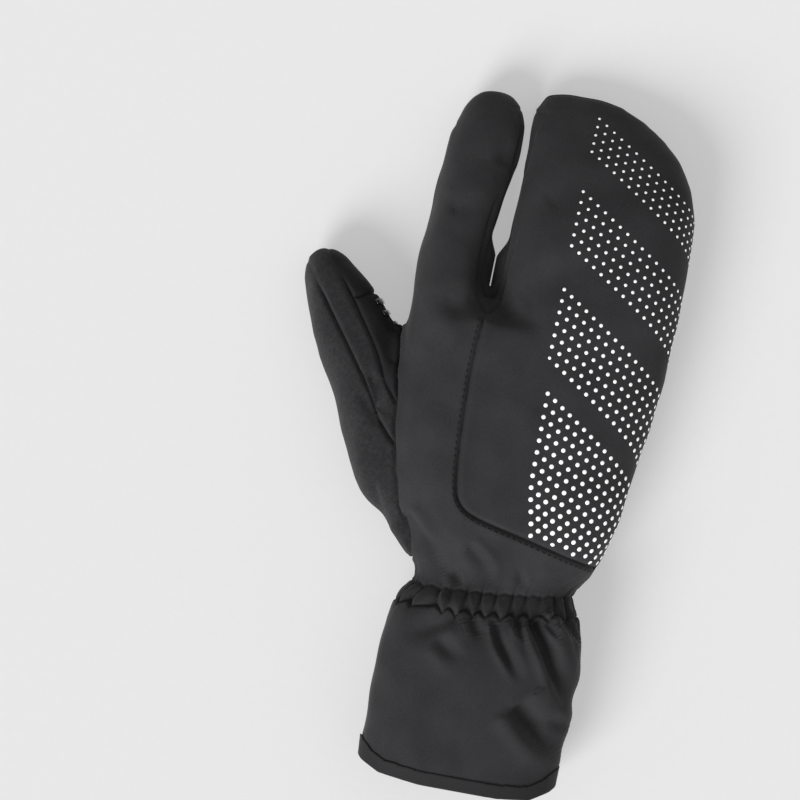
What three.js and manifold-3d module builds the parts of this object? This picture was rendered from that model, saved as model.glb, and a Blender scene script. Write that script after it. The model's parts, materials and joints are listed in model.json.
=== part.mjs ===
// A three-finger ("lobster") winter glove for the right hand, lying palm down: thumb, index finger and one
// mitten pocket for the other three, a wrist drawn in by elastic, and a long cuff with a closing strap.
// Millimetres. X runs across the hand with the thumb at -X, Y towards the fingertips, Z up out of the back.
// The hand, fingers and thumb are lofts through tables of sections. The cloth is the room between each loft
// and the same loft drawn one wall smaller, and the panels are that cloth cut along the glove's seams.
import * as THREE from "three";
import { mergeVertices } from "three/addons/utils/BufferGeometryUtils.js";
import Module from "manifold-3d";

const wasm = await Module();
wasm.setup();

// Driving sizes
const GLOVE_LENGTH = 310; // hem of the cuff to the tip of the mitten
const HAND_WIDTH = 118; // across the knuckles, index finger included
const HAND_DEPTH = 52; // back of the hand above the surface that the glove lies on
const THUMB_LENGTH = 147; // from its root at the wrist to its tip
const THUMB_LEAN = 24.5; // degrees that the thumb leans away from the fingers
const WALL = 2.6; // shell cloth, padding and lining together
const SEAM_GAP = 0.3; // between two pieces, where the thread draws them in
const PATCH_THICKNESS = 0.8; // cloth patch sewn on the palm
const BAR_THICKNESS = 0.6; // printed silicone grip bar
const LOOP_THICKNESS = 1.2; // loop half of the cuff's closure
const STRAP_THICKNESS = 1.8;
const STRAP_WIDTH = 26.5;
const BINDING_THICKNESS = 0.9;
const BINDING_HEIGHT = 5.5;
const GATHER_COUNT = 24; // elastic gathers round the wrist
const GATHER_DEPTH = 3;

// Sections of the hand and cuff. "along" is a share of GLOVE_LENGTH, "left" and "right" of HAND_WIDTH from
// the glove's long axis, "under" and "over" of HAND_DEPTH above the surface, which presses flat what would
// lie under 0. "gather" is how far the elastic draws the cloth into gathers there.
const HAND = [
  { along: -0.04, left: -0.375, right: 0.36, under: 0.08, over: 0.88, gather: 0 },
  { along: 0.035, left: -0.388, right: 0.364, under: 0.073, over: 0.91, gather: 0 },
  { along: 0.18, left: -0.38, right: 0.375, under: 0.075, over: 0.915, gather: 0 },
  { along: 0.222, left: -0.368, right: 0.37, under: 0.09, over: 0.885, gather: 0.15 },
  { along: 0.242, left: -0.348, right: 0.352, under: 0.11, over: 0.845, gather: 0.4 },
  { along: 0.26, left: -0.322, right: 0.327, under: 0.125, over: 0.79, gather: 0.9 },
  { along: 0.272, left: -0.309, right: 0.312, under: 0.12, over: 0.76, gather: 1 },
  { along: 0.284, left: -0.31, right: 0.313, under: 0.09, over: 0.76, gather: 1 },
  { along: 0.297, left: -0.318, right: 0.33, under: 0.035, over: 0.79, gather: 0.7 },
  { along: 0.311, left: -0.332, right: 0.353, under: -0.025, over: 0.835, gather: 0.3 },
  { along: 0.328, left: -0.354, right: 0.371, under: -0.025, over: 0.87, gather: 0.1 },
  { along: 0.346, left: -0.382, right: 0.388, under: 0.045, over: 0.905, gather: 0 },
  { along: 0.37, left: -0.42, right: 0.404, under: 0.05, over: 0.945, gather: 0 },
  { along: 0.413, left: -0.458, right: 0.424, under: 0.05, over: 0.98, gather: 0 },
  { along: 0.482, left: -0.49, right: 0.446, under: 0.054, over: 1, gather: 0 },
  { along: 0.597, left: -0.498, right: 0.496, under: 0.08, over: 1, gather: 0 },
  { along: 0.65, left: -0.498, right: 0.506, under: 0.085, over: 0.99, gather: 0 },
  { along: 0.671, left: -0.49, right: 0.5, under: 0.12, over: 0.93, gather: 0 },
  { along: 0.688, left: -0.4, right: 0.4, under: 0.33, over: 0.66, gather: 0 },
];
const MITTEN = [
  { along: 0.52, left: -0.17, right: 0.42, under: 0.16, over: 0.9 },
  { along: 0.62, left: -0.18, right: 0.478, under: 0.13, over: 0.955 },
  { along: 0.684, left: -0.186, right: 0.507, under: 0.07, over: 0.983 },
  { along: 0.729, left: -0.181, right: 0.508, under: 0.03, over: 0.955 },
  { along: 0.777, left: -0.177, right: 0.508, under: -0.02, over: 0.905 },
  { along: 0.823, left: -0.171, right: 0.506, under: -0.02, over: 0.835 },
  { along: 0.85, left: -0.167, right: 0.496, under: 0.03, over: 0.78 },
  { along: 0.89, left: -0.166, right: 0.468, under: 0.034, over: 0.67 },
  { along: 0.925, left: -0.168, right: 0.41, under: 0.04, over: 0.56 },
  { along: 0.952, left: -0.168, right: 0.34, under: 0.05, over: 0.465 },
  { along: 0.974, left: -0.16, right: 0.262, under: 0.075, over: 0.375 },
  { along: 0.988, left: -0.132, right: 0.177, under: 0.11, over: 0.295 },
  { along: 0.997, left: -0.07, right: 0.09, under: 0.15, over: 0.23 },
];
const INDEX = [
  { along: 0.53, left: -0.46, right: -0.22, under: 0.2, over: 0.78 },
  { along: 0.62, left: -0.478, right: -0.24, under: 0.16, over: 0.83 },
  { along: 0.684, left: -0.497, right: -0.249, under: 0.1, over: 0.87 },
  { along: 0.729, left: -0.494, right: -0.249, under: 0.05, over: 0.82 },
  { along: 0.777, left: -0.487, right: -0.242, under: -0.015, over: 0.76 },
  { along: 0.826, left: -0.48, right: -0.22, under: -0.015, over: 0.69 },
  { along: 0.848, left: -0.478, right: -0.21, under: 0.03, over: 0.655 },
  { along: 0.903, left: -0.471, right: -0.192, under: 0.034, over: 0.56 },
  { along: 0.932, left: -0.452, right: -0.194, under: 0.04, over: 0.5 },
  { along: 0.955, left: -0.43, right: -0.207, under: 0.05, over: 0.43 },
  { along: 0.971, left: -0.398, right: -0.233, under: 0.085, over: 0.36 },
  { along: 0.98, left: -0.36, right: -0.275, under: 0.13, over: 0.29 },
];
// The thumb runs along a line of its own, and "left" and "right" are measured from it.
const THUMB = [
  { along: 0.03, left: 0.02, right: 0.16, under: 0.12, over: 0.5 },
  { along: 0.11, left: -0.012, right: 0.2, under: 0.09, over: 0.6 },
  { along: 0.262, left: -0.093, right: 0.225, under: 0.07, over: 0.7 },
  { along: 0.337, left: -0.107, right: 0.225, under: 0.055, over: 0.71 },
  { along: 0.51, left: -0.102, right: 0.215, under: 0.01, over: 0.685 },
  { along: 0.59, left: -0.106, right: 0.208, under: -0.02, over: 0.664 },
  { along: 0.67, left: -0.115, right: 0.2, under: 0.032, over: 0.638 },
  { along: 0.761, left: -0.121, right: 0.178, under: 0.036, over: 0.606 },
  { along: 0.875, left: -0.11, right: 0.129, under: 0.05, over: 0.548 },
  { along: 0.923, left: -0.102, right: 0.097, under: 0.065, over: 0.505 },
  { along: 0.956, left: -0.089, right: 0.072, under: 0.08, over: 0.455 },
  { along: 0.983, left: -0.064, right: 0.042, under: 0.13, over: 0.39 },
  { along: 0.997, left: -0.03, right: 0.013, under: 0.19, over: 0.32 },
];
const THUMB_ROOT = { across: -0.339, along: 0.282 };

// Long folds in the cloth of the back, which run out of the gathers. "across" is a share of HAND_WIDTH,
// "along" of GLOVE_LENGTH and "depth" and "reach" of HAND_DEPTH. A negative depth is a ridge.
const FOLDS = [
  { fromAcross: -0.2, fromAlong: 0.3, toAcross: -0.33, toAlong: 0.375, depth: 0.05, reach: 0.07 },
  { fromAcross: -0.06, fromAlong: 0.3, toAcross: -0.2, toAlong: 0.35, depth: -0.04, reach: 0.06 },
  { fromAcross: 0.12, fromAlong: 0.305, toAcross: 0.05, toAlong: 0.34, depth: 0.035, reach: 0.06 },
  { fromAcross: -0.05, fromAlong: 0.25, toAcross: 0.13, toAlong: 0.16, depth: 0.045, reach: 0.07 },
  { fromAcross: 0.1, fromAlong: 0.255, toAcross: 0.28, toAlong: 0.19, depth: 0.04, reach: 0.06 },
  { fromAcross: -0.26, fromAlong: 0.25, toAcross: -0.2, toAlong: 0.19, depth: 0.03, reach: 0.07 },
];

// The seam down both sides, where back and palm meet: its height as a share of HAND_DEPTH
const SIDE_SEAM = [
  { along: -0.1, height: 0.48 },
  { along: 0.28, height: 0.42 },
  { along: 0.4, height: 0.46 },
  { along: 0.68, height: 0.46 },
  { along: 0.86, height: 0.34 },
  { along: 0.96, height: 0.25 },
  { along: 1.1, height: 0.16 },
];
// The seam round the panel with the dots, from the slot between the fingers to the side of the hand
const BACK_SEAM = [
  { across: -0.18, along: 1.1 },
  { across: -0.18, along: 0.93 },
  { across: -0.188, along: 0.84 },
  { across: -0.205, along: 0.78 },
  { across: -0.215, along: 0.72 },
  { across: -0.218, along: 0.66 },
  { across: -0.23, along: 0.585 },
  { across: -0.224, along: 0.488 },
  { across: -0.203, along: 0.42 },
  { across: -0.186, along: 0.392 },
  { across: -0.113, along: 0.375 },
  { across: 0.083, along: 0.353 },
  { across: 0.345, along: 0.33 },
  { across: 0.6, along: 0.318 },
];
// The wavy seam that joins the palm to the cuff, just above the gathers
const PALM_SEAM = [
  { across: -0.6, along: 0.262 },
  { across: -0.36, along: 0.266 },
  { across: -0.167, along: 0.281 },
  { across: 0.03, along: 0.274 },
  { across: 0.26, along: 0.288 },
  { across: 0.6, along: 0.3 },
];
// The curved hem of the cuff, under its binding
const HEM = [
  { across: -0.45, along: 0.03 },
  { across: -0.37, along: 0.004 },
  { across: -0.3, along: -0.008 },
  { across: -0.15, along: -0.014 },
  { across: 0.15, along: -0.014 },
  { across: 0.27, along: -0.009 },
  { across: 0.34, along: 0.006 },
  { across: 0.42, along: 0.034 },
];

// Grip bars of the palm: their ends as shares of HAND_WIDTH and GLOVE_LENGTH, "bend" how far the left end
// droops as a share of GLOVE_LENGTH, "width" in millimetres
const PALM_BARS = [
  { left: -0.425, leftAlong: 0.683, right: -0.3, rightAlong: 0.694, bend: 0.006, width: 1.6 },
  { left: -0.43, leftAlong: 0.664, right: -0.17, rightAlong: 0.686, bend: 0.008, width: 1.8 },
  { left: -0.43, leftAlong: 0.642, right: 0.02, rightAlong: 0.688, bend: 0.01, width: 2 },
  { left: -0.43, leftAlong: 0.623, right: 0.22, rightAlong: 0.688, bend: 0.01, width: 2.2 },
  { left: -0.415, leftAlong: 0.604, right: 0.26, rightAlong: 0.668, bend: 0.012, width: 2.4 },
  { left: -0.42, leftAlong: 0.58, right: 0.26, rightAlong: 0.645, bend: 0.012, width: 2.5 },
  { left: -0.41, leftAlong: 0.563, right: 0.262, rightAlong: 0.623, bend: 0.01, width: 2.4 },
  { left: -0.386, leftAlong: 0.546, right: 0.264, rightAlong: 0.602, bend: 0.008, width: 2 },
  { left: -0.34, leftAlong: 0.533, right: 0.268, rightAlong: 0.582, bend: 0.006, width: 1.6 },
  { left: -0.3, leftAlong: 0.52, right: 0.27, rightAlong: 0.562, bend: 0.004, width: 1.3 },
];
const INDEX_BARS = [
  { left: -0.415, right: -0.25, along: 0.907, width: 2.5 },
  { left: -0.41, right: -0.26, along: 0.887, width: 2 },
  { left: -0.42, right: -0.26, along: 0.867, width: 1.6 },
  { left: -0.42, right: -0.27, along: 0.848, width: 1.2 },
];
const MITTEN_BARS = [
  { left: -0.12, right: 0.24, along: 0.924, width: 2.5 },
  { left: -0.125, right: 0.28, along: 0.903, width: 2.1 },
  { left: -0.125, right: 0.3, along: 0.883, width: 1.6 },
  { left: -0.125, right: 0.31, along: 0.864, width: 1.2 },
];
const FINGER_BAR_RISE = 0.026; // share of GLOVE_LENGTH, for each HAND_WIDTH x 0.36 that a bar runs
// Grip bars of the thumb, as shares of HAND_WIDTH and THUMB_LENGTH. "high" is the share of HAND_DEPTH that a
// bar reaches up to round the thumb's side, less where the hand is near.
const THUMB_BARS = [
  { left: -0.06, right: 0.21, along: 0.8, high: 0.5, width: 2.6 },
  { left: -0.065, right: 0.225, along: 0.762, high: 0.5, width: 2.3 },
  { left: -0.07, right: 0.24, along: 0.724, high: 0.46, width: 1.9 },
  { left: -0.07, right: 0.255, along: 0.688, high: 0.38, width: 1.5 },
];
// Patch on the ball of the thumb: corners of a rounded triangle, and the bars printed across it
const THENAR_PATCH = [
  { across: -0.054, along: 0.522 },
  { across: -0.225, along: 0.342 },
  { across: 0.165, along: 0.35 },
];
const THENAR_CORNER = 7; // radius of the patch's corners
const THENAR_BARS = [
  { across: -0.05, along: 0.477, length: 0.035, width: 1.5 },
  { across: -0.048, along: 0.455, length: 0.13, width: 1.8 },
  { across: -0.044, along: 0.434, length: 0.17, width: 1.9 },
  { across: -0.04, along: 0.413, length: 0.215, width: 2 },
  { across: -0.035, along: 0.395, length: 0.25, width: 2 },
  { across: -0.03, along: 0.378, length: 0.28, width: 2 },
];

// Closure of the cuff, on its palm side
const LOOP_WIDTH = 28;
const LOOP_PATCH = { left: -0.34, right: 0.2, along: 0.018 };
const GUSSET_INSET = 1; // how far the insert lies in under the cuff's surface
const STRAP = { left: -0.27, right: 0.335, along: 0.02 };
// The strap's rounded free end, as shares of STRAP_WIDTH: "inward" from its tip, "up" from its lower edge
const STRAP_END = [
  { inward: 0.667, up: 0.917 },
  { inward: 0.111, up: 0.667 },
  { inward: 0, up: 0.5 },
  { inward: 0.111, up: 0.333 },
  { inward: 0.333, up: 0 },
];
const WRAP_HEIGHT = 0.44; // share of HAND_DEPTH that patch and strap reach up to round the cuff
const PALM_SIDE = { low: -0.1, high: 0.3 }; // heights between which outlines are cut into the palm side
const GUSSET = { left: 0.235, right: 0.33, top: 0.165 }; // arch-topped slit beside the strap's root

// Seams along the thumb, measured from its own line: the strip of cloth between them runs from its tip to the
// wrist, with the brushed back of the thumb on one side and the grip side on the other.
const THUMB_BACK_SEAM = [
  { across: -0.09, along: 1.1 },
  { across: -0.065, along: 0.93 },
  { across: 0.019, along: 0.6 },
  { across: 0.06, along: 0.4 },
  { across: 0.2, along: 0.15 },
  { across: 0.3, along: -0.2 },
];
const THUMB_GRIP_SEAM = [
  { across: -0.02, along: 1.1 },
  { across: 0.02, along: 0.96 },
  { across: 0.088, along: 0.7 },
  { across: 0.1, along: 0.56 },
  { across: 0.13, along: 0.38 },
  { across: 0.16, along: -0.2 },
];
const THUMB_UNDER_SEAM = 0.2; // share of HAND_DEPTH
// The slot between the fingers runs deeper on the back than on the palm, by this much of the depth
const CROTCH = { slant: 0.35, from: 0.64, to: 0.688 };

// Where the touchscreen tips and the slot's side strip begin
const INDEX_TIP_ALONG = 0.922;
const THUMB_TIP_ALONG = 0.83;
const SLOT = { left: -0.31, right: -0.1, from: 0.63, to: 0.96, height: 0.24 };

const SHELL_SQUARENESS = 2.5; // 2 is an ellipse, more is boxier
const MITTEN_SIDES = 26;
const FINGER_SIDES = 18;
const LINING_SIDES = 20;
const FINGER_LINING_SIDES = 12;
const TRIM_SIDES = 36; // of patches, strap and binding
const BAR_STEP = 5; // between the sections of a grip bar
const BAR_DROOP = 0.035; // share of HAND_WIDTH in which a bar's left end turns down
const BAR_END = 0.6; // width of a bar's blunt end as a share of its width
const ARCH_SEGMENTS = 6;
const CORNER_SEGMENTS = 4;
const EASE = 0.25; // spare room where straight faces run beside curved ones
const FINE_STEPS = 240; // in which an oval's length is measured
const WELD = 1e-4; // corners closer than this are one
const FAR = 400; // past every edge of the glove
const across = (share) => share * HAND_WIDTH;
const along = (share) => share * GLOVE_LENGTH;
const height = (share) => share * HAND_DEPTH;

// A solid from a three.js geometry, and back
function solid(geometry) {
  const bare = new THREE.BufferGeometry();
  bare.setAttribute("position", geometry.getAttribute("position"));
  if (geometry.index) bare.setIndex(geometry.index);
  const merged = mergeVertices(bare, WELD);
  return new wasm.Manifold(
    new wasm.Mesh({
      numProp: 3,
      vertProperties: merged.getAttribute("position").array,
      triVerts: new Uint32Array(merged.index.array),
    }),
  );
}
function geometryOf(body) {
  const mesh = body.getMesh();
  const geometry = new THREE.BufferGeometry();
  geometry.setAttribute("position", new THREE.BufferAttribute(mesh.vertProperties, 3));
  geometry.setIndex(new THREE.BufferAttribute(mesh.triVerts, 1));
  const flat = geometry.toNonIndexed();
  flat.computeVertexNormals();
  return flat;
}

// Evenly spaced points round an oval with squared shoulders, from its +X end over the top
function squaredOval(halfWidth, halfHeight, sides) {
  const power = 2 / SHELL_SQUARENESS;
  const bulge = (value) => Math.sign(value) * Math.abs(value) ** power;
  const fine = Array.from({ length: FINE_STEPS + 1 }, (_, step) => {
    const turn = (2 * Math.PI * step) / FINE_STEPS;
    return new THREE.Vector3(bulge(Math.cos(turn)) * halfWidth, 0, bulge(Math.sin(turn)) * halfHeight);
  });
  const run = [0];
  for (let step = 1; step <= FINE_STEPS; step += 1) {
    run.push(run[step - 1] + fine[step].distanceTo(fine[step - 1]));
  }
  return Array.from({ length: sides }, (_, side) => {
    const target = (run[FINE_STEPS] * side) / sides;
    const step = Math.max(1, run.findIndex((length) => length >= target));
    return fine[step - 1].clone().lerp(fine[step], (target - run[step - 1]) / (run[step] - run[step - 1]));
  });
}

// A closed loft through a table's sections. "grow" moves the whole skin out along its normals, or in where
// it is negative, and the surface that the glove lies on keeps the outer skin from sinking under 0.
function loft(table, { length, sides, grow = 0, shape = (point) => point }) {
  const rings = table.map((row) => {
    const middle = new THREE.Vector3(
      across(row.left + row.right) / 2,
      row.along * length,
      height(row.under + row.over) / 2,
    );
    const oval = squaredOval(across(row.right - row.left) / 2, height(row.over - row.under) / 2, sides);
    return oval.map((point, side) => shape(point.add(middle), { row, side, middle }));
  });
  const last = rings.length - 1;
  const moved = rings.map((ring, r) =>
    ring.map((point, side) => {
      const after = ring[(side + 1) % sides];
      const around = new THREE.Vector3().subVectors(after, ring[(side + sides - 1) % sides]);
      const ahead = rings[Math.min(r + 1, last)][side];
      const onward = new THREE.Vector3().subVectors(ahead, rings[Math.max(r - 1, 0)][side]);
      const normal = new THREE.Vector3().crossVectors(onward, around).normalize();
      if (r === last) normal.add(new THREE.Vector3(0, 1, 0)).normalize();
      const out = point.clone().addScaledVector(normal, grow);
      out.z = Math.max(out.z, Math.max(0, -grow));
      return out;
    }),
  );
  return solid(tubeOf(moved));
}
// The closed surface over a run of rings, with a fan of faces over either end
function tubeOf(rings) {
  const sides = rings[0].length;
  const last = rings.length - 1;
  const positions = [];
  const face = (...corners) => corners.forEach((corner) => positions.push(corner.x, corner.y, corner.z));
  const centres = [rings[0], rings[last]].map((ring) =>
    ring.reduce((sum, point) => sum.add(point), new THREE.Vector3()).divideScalar(sides),
  );
  for (let side = 0; side < sides; side += 1) {
    const next = (side + 1) % sides;
    face(centres[0], rings[0][side], rings[0][next]);
    face(centres[1], rings[last][next], rings[last][side]);
    for (let r = 0; r < last; r += 1) {
      face(rings[r][side], rings[r + 1][side], rings[r][next]);
      face(rings[r + 1][side], rings[r + 1][next], rings[r][next]);
    }
  }
  const geometry = new THREE.BufferGeometry();
  geometry.setAttribute("position", new THREE.Float32BufferAttribute(positions, 3));
  return geometry;
}

// An outline in X and Y pulled up from one height to another
function prism(points, low = -FAR, high = FAR) {
  const shape = new THREE.Shape(points.map(([x, y]) => new THREE.Vector2(x, y)));
  const geometry = new THREE.ExtrudeGeometry(shape, { depth: high - low, bevelEnabled: false });
  return solid(geometry.translate(0, 0, low));
}
// An outline with curves, pulled up through the palm side only
function palmSide(shape, curveSegments) {
  const depth = height(PALM_SIDE.high - PALM_SIDE.low);
  const geometry = new THREE.ExtrudeGeometry(shape, { depth, bevelEnabled: false, curveSegments });
  return solid(geometry.translate(0, 0, height(PALM_SIDE.low)));
}
// All that lies above a line of heights along the glove
function above(line, lift) {
  const shape = new THREE.Shape([
    ...line.map((row) => new THREE.Vector2(along(row.along), height(row.height) + lift)),
    new THREE.Vector2(FAR, FAR),
    new THREE.Vector2(-FAR, FAR),
  ]);
  const geometry = new THREE.ExtrudeGeometry(shape, { depth: 2 * FAR, bevelEnabled: false });
  geometry.translate(0, 0, -FAR);
  const turned = new THREE.Matrix4().makeBasis(
    new THREE.Vector3(0, 1, 0),
    new THREE.Vector3(0, 0, 1),
    new THREE.Vector3(1, 0, 0),
  );
  return solid(geometry.applyMatrix4(turned));
}
// A line of points moved sideways, to the left of its run where "shift" is positive
function beside(points, shift) {
  return points.map(([x, y], i) => {
    const [beforeX, beforeY] = points[Math.max(i - 1, 0)];
    const [afterX, afterY] = points[Math.min(i + 1, points.length - 1)];
    const run = Math.hypot(afterX - beforeX, afterY - beforeY);
    return [x - ((afterY - beforeY) / run) * shift, y + ((afterX - beforeX) / run) * shift];
  });
}
// The region on one side of a line, closed through corners far outside the glove
function region(line, shift, corners) {
  return prism([...beside(line, shift), ...corners]);
}
const placed = (table) => table.map((row) => [across(row.across), along(row.along)]);
// A stroke of even width along a few points, with a blunt point at either end
function stroke(points, width) {
  const first = points[0];
  const final = points[points.length - 1];
  return [
    [first[0] - width / 2, first[1]],
    ...beside(points, -width / 2),
    [final[0] + width / 2, final[1]],
    ...beside(points, width / 2).reverse(),
  ];
}

// Skins. The lining takes every other section, apart from the gathered ones and both ends.
const sparse = (table) =>
  table.filter((row, i) => i % 2 === (table.length - 1) % 2 || i === 0 || row.gather > 0);
const gathered = (point, middle, pull) =>
  point.add(new THREE.Vector3().subVectors(middle, point).setLength(pull));
const slanted = (point, { row, middle }) => {
  const share = THREE.MathUtils.smoothstep(row.along, CROTCH.from, CROTCH.to);
  point.y += CROTCH.slant * (middle.z - point.z) * share;
  return point;
};
const outerShape = (point, place) => {
  const pull = place.side % 2 === 0 ? 0 : place.row.gather * GATHER_DEPTH;
  return slanted(gathered(folded(point, place.middle), place.middle, pull), place);
};
const liningShape = (point, place) =>
  slanted(gathered(point, place.middle, (place.row.gather * GATHER_DEPTH) / 2), place);
function folded(point, middle) {
  if (point.z < middle.z) return point;
  const out = point.clone();
  for (const fold of FOLDS) {
    const start = new THREE.Vector2(across(fold.fromAcross), along(fold.fromAlong));
    const end = new THREE.Vector2(across(fold.toAcross), along(fold.toAlong));
    const run = end.clone().sub(start);
    const spot = new THREE.Vector2(point.x, point.y).sub(start);
    const share = THREE.MathUtils.clamp(spot.dot(run) / run.lengthSq(), 0, 1);
    const away = spot.sub(run.multiplyScalar(share)).length() / height(fold.reach);
    out.z -= height(fold.depth) * Math.exp(-away * away);
  }
  return out;
}
const hand = (grow) =>
  loft(HAND, { length: GLOVE_LENGTH, sides: 2 * GATHER_COUNT, shape: outerShape, grow });
const handLining = (grow) =>
  loft(sparse(HAND), { length: GLOVE_LENGTH, sides: LINING_SIDES, shape: liningShape, grow });
const handSmooth = (grow) =>
  loft(HAND, { length: GLOVE_LENGTH, sides: TRIM_SIDES, shape: slanted, grow });
const mitten = (grow) => loft(MITTEN, { length: GLOVE_LENGTH, sides: MITTEN_SIDES, grow });
const index = (grow) => loft(INDEX, { length: GLOVE_LENGTH, sides: FINGER_SIDES, grow });
const fingerLining = (grow) =>
  loft(sparse(MITTEN), { length: GLOVE_LENGTH, sides: LINING_SIDES, grow }).add(
    loft(sparse(INDEX), { length: GLOVE_LENGTH, sides: FINGER_LINING_SIDES, grow }),
  );
const thumbPlace = new THREE.Matrix4()
  .makeTranslation(across(THUMB_ROOT.across), along(THUMB_ROOT.along), 0)
  .multiply(new THREE.Matrix4().makeRotationZ(THREE.MathUtils.degToRad(THUMB_LEAN)));
const atThumb = (body) => body.transform(thumbPlace.elements);
const thumb = (grow) => atThumb(loft(THUMB, { length: THUMB_LENGTH, sides: FINGER_SIDES, grow }));
const thumbLining = (grow) =>
  atThumb(loft(sparse(THUMB), { length: THUMB_LENGTH, sides: FINGER_LINING_SIDES, grow }));
const skin = (grow) => hand(grow).add(mitten(grow)).add(index(grow));
const layer = (make, low, high) => make(high).subtract(make(low));

// Shell cloth
const half = SEAM_GAP / 2;
const skinClear = skin(SEAM_GAP);
const hollow = handLining(-WALL).add(fingerLining(-WALL));
const thumbHollow = thumbLining(-WALL);
const aboveHem = (lift) => region(placed(HEM), lift, [[FAR, FAR], [-FAR, FAR]]);
const cloth = skin(0).subtract(hollow).subtract(thumbHollow).intersect(aboveHem(0));
const thumbCloth = thumb(0).subtract(thumbHollow).subtract(skinClear);

// Panels of the hand and cuff
const backHalf = cloth.intersect(above(SIDE_SEAM, half));
const palmHalf = cloth.subtract(above(SIDE_SEAM, -half));
function slotBand(grow) {
  const sides = [across(SLOT.left) - grow, across(SLOT.right) + grow];
  const ends = [along(SLOT.from) - grow, along(SLOT.to) + grow];
  const corners = [
    [sides[0], ends[0]],
    [sides[1], ends[0]],
    [sides[1], ends[1]],
    [sides[0], ends[1]],
  ];
  const reach = height(SLOT.height) / 2 + grow;
  return prism(corners).intersect(above(SIDE_SEAM, -reach)).subtract(above(SIDE_SEAM, reach));
}
const fourchette = cloth.intersect(slotBand(0));
const slotClear = slotBand(SEAM_GAP);

const backSeam = placed(BACK_SEAM);
const seamEnd = backSeam[backSeam.length - 1][1];
const mittenSide = region(backSeam, half, [[FAR, seamEnd], [FAR, FAR], [backSeam[0][0], FAR]]);
const mittenSideClear = region(backSeam, -half, [[FAR, seamEnd], [FAR, FAR], [backSeam[0][0], FAR]]);
const mittenBack = backHalf.intersect(mittenSide).subtract(slotClear);
const backShell = backHalf.subtract(mittenSideClear).subtract(slotClear);

const abovePalmSeam = (lift) => region(placed(PALM_SEAM), lift, [[FAR, FAR], [-FAR, FAR]]);
const indexTip = (grow) =>
  prism([
    [-FAR, along(INDEX_TIP_ALONG) - grow],
    [across(BACK_SEAM[0].across), along(INDEX_TIP_ALONG) - grow],
    [across(BACK_SEAM[0].across), FAR],
    [-FAR, FAR],
  ]);
const palmHand = palmHalf.intersect(abovePalmSeam(half)).subtract(slotClear);
const indexTouchTip = palmHand.intersect(indexTip(0));
const palmPanel = palmHand.subtract(indexTip(SEAM_GAP));

// Slit in the cuff, with its folded insert
function arch(grow) {
  const left = across(GUSSET.left) - grow;
  const right = across(GUSSET.right) + grow;
  const radius = (right - left) / 2;
  const shape = new THREE.Shape();
  shape.moveTo(left, -along(GUSSET.top));
  shape.lineTo(right, -along(GUSSET.top));
  shape.absarc((left + right) / 2, along(GUSSET.top) - radius, radius, 0, Math.PI);
  return palmSide(shape, ARCH_SEGMENTS);
}
const cuffPalm = palmHalf.subtract(abovePalmSeam(-half)).subtract(arch(SEAM_GAP));
const cuffGusset = layer(handSmooth, -WALL + SEAM_GAP, -GUSSET_INSET)
  .intersect(arch(0))
  .intersect(aboveHem(0));

// Binding folded round the hem
const bindingRoom = handSmooth(SEAM_GAP + EASE)
  .subtract(handLining(-WALL - SEAM_GAP))
  .intersect(aboveHem(-SEAM_GAP));
const bindingReach = SEAM_GAP + EASE + BINDING_THICKNESS;
const cuffBinding = handSmooth(bindingReach)
  .subtract(handLining(-WALL - bindingReach))
  .intersect(aboveHem(-bindingReach))
  .subtract(aboveHem(BINDING_HEIGHT))
  .subtract(bindingRoom);

// Closure under the cuff: loop patch, and the strap that closes over it
const below = (top) => prism([[-FAR, -FAR], [FAR, -FAR], [FAR, FAR], [-FAR, FAR]], -FAR, top);
const underside = below(height(WRAP_HEIGHT));
const loopTop = SEAM_GAP + LOOP_THICKNESS;
const loopPatch = layer(handSmooth, SEAM_GAP, loopTop)
  .intersect(underside)
  .intersect(
    prism([
      [across(LOOP_PATCH.left), along(LOOP_PATCH.along)],
      [across(LOOP_PATCH.right), along(LOOP_PATCH.along)],
      [across(LOOP_PATCH.right), along(LOOP_PATCH.along) + LOOP_WIDTH],
      [across(LOOP_PATCH.left), along(LOOP_PATCH.along) + LOOP_WIDTH],
    ]),
  );
const strapLow = loopTop + SEAM_GAP;
const closingStrap = layer(handSmooth, strapLow, strapLow + STRAP_THICKNESS)
  .intersect(underside)
  .intersect(
    prism([
      [across(STRAP.right), along(STRAP.along)],
      [across(STRAP.right), along(STRAP.along) + STRAP_WIDTH],
      ...STRAP_END.map((row) => [
        across(STRAP.left) + row.inward * STRAP_WIDTH,
        along(STRAP.along) + row.up * STRAP_WIDTH,
      ]),
    ]),
  );

// Patch on the ball of the thumb, and the silicone bars printed on it and on the palm and fingers
function roundedTriangle() {
  const corners = placed(THENAR_PATCH).map(([x, y]) => new THREE.Vector2(x, y));
  const shape = new THREE.Shape();
  corners.forEach((corner, i) => {
    const before = corners[(i + 2) % 3].clone().sub(corner).setLength(THENAR_CORNER).add(corner);
    const after = corners[(i + 1) % 3].clone().sub(corner).setLength(THENAR_CORNER).add(corner);
    if (i === 0) shape.moveTo(before.x, before.y);
    else shape.lineTo(before.x, before.y);
    shape.quadraticCurveTo(corner.x, corner.y, after.x, after.y);
  });
  return palmSide(shape, CORNER_SEGMENTS);
}
const patchTop = SEAM_GAP + PATCH_THICKNESS;
const thenarPatch = layer(handSmooth, SEAM_GAP, patchTop).intersect(roundedTriangle());
const thumbSkin = layer(thumb, SEAM_GAP, SEAM_GAP + BAR_THICKNESS).subtract(skinClear);

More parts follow.
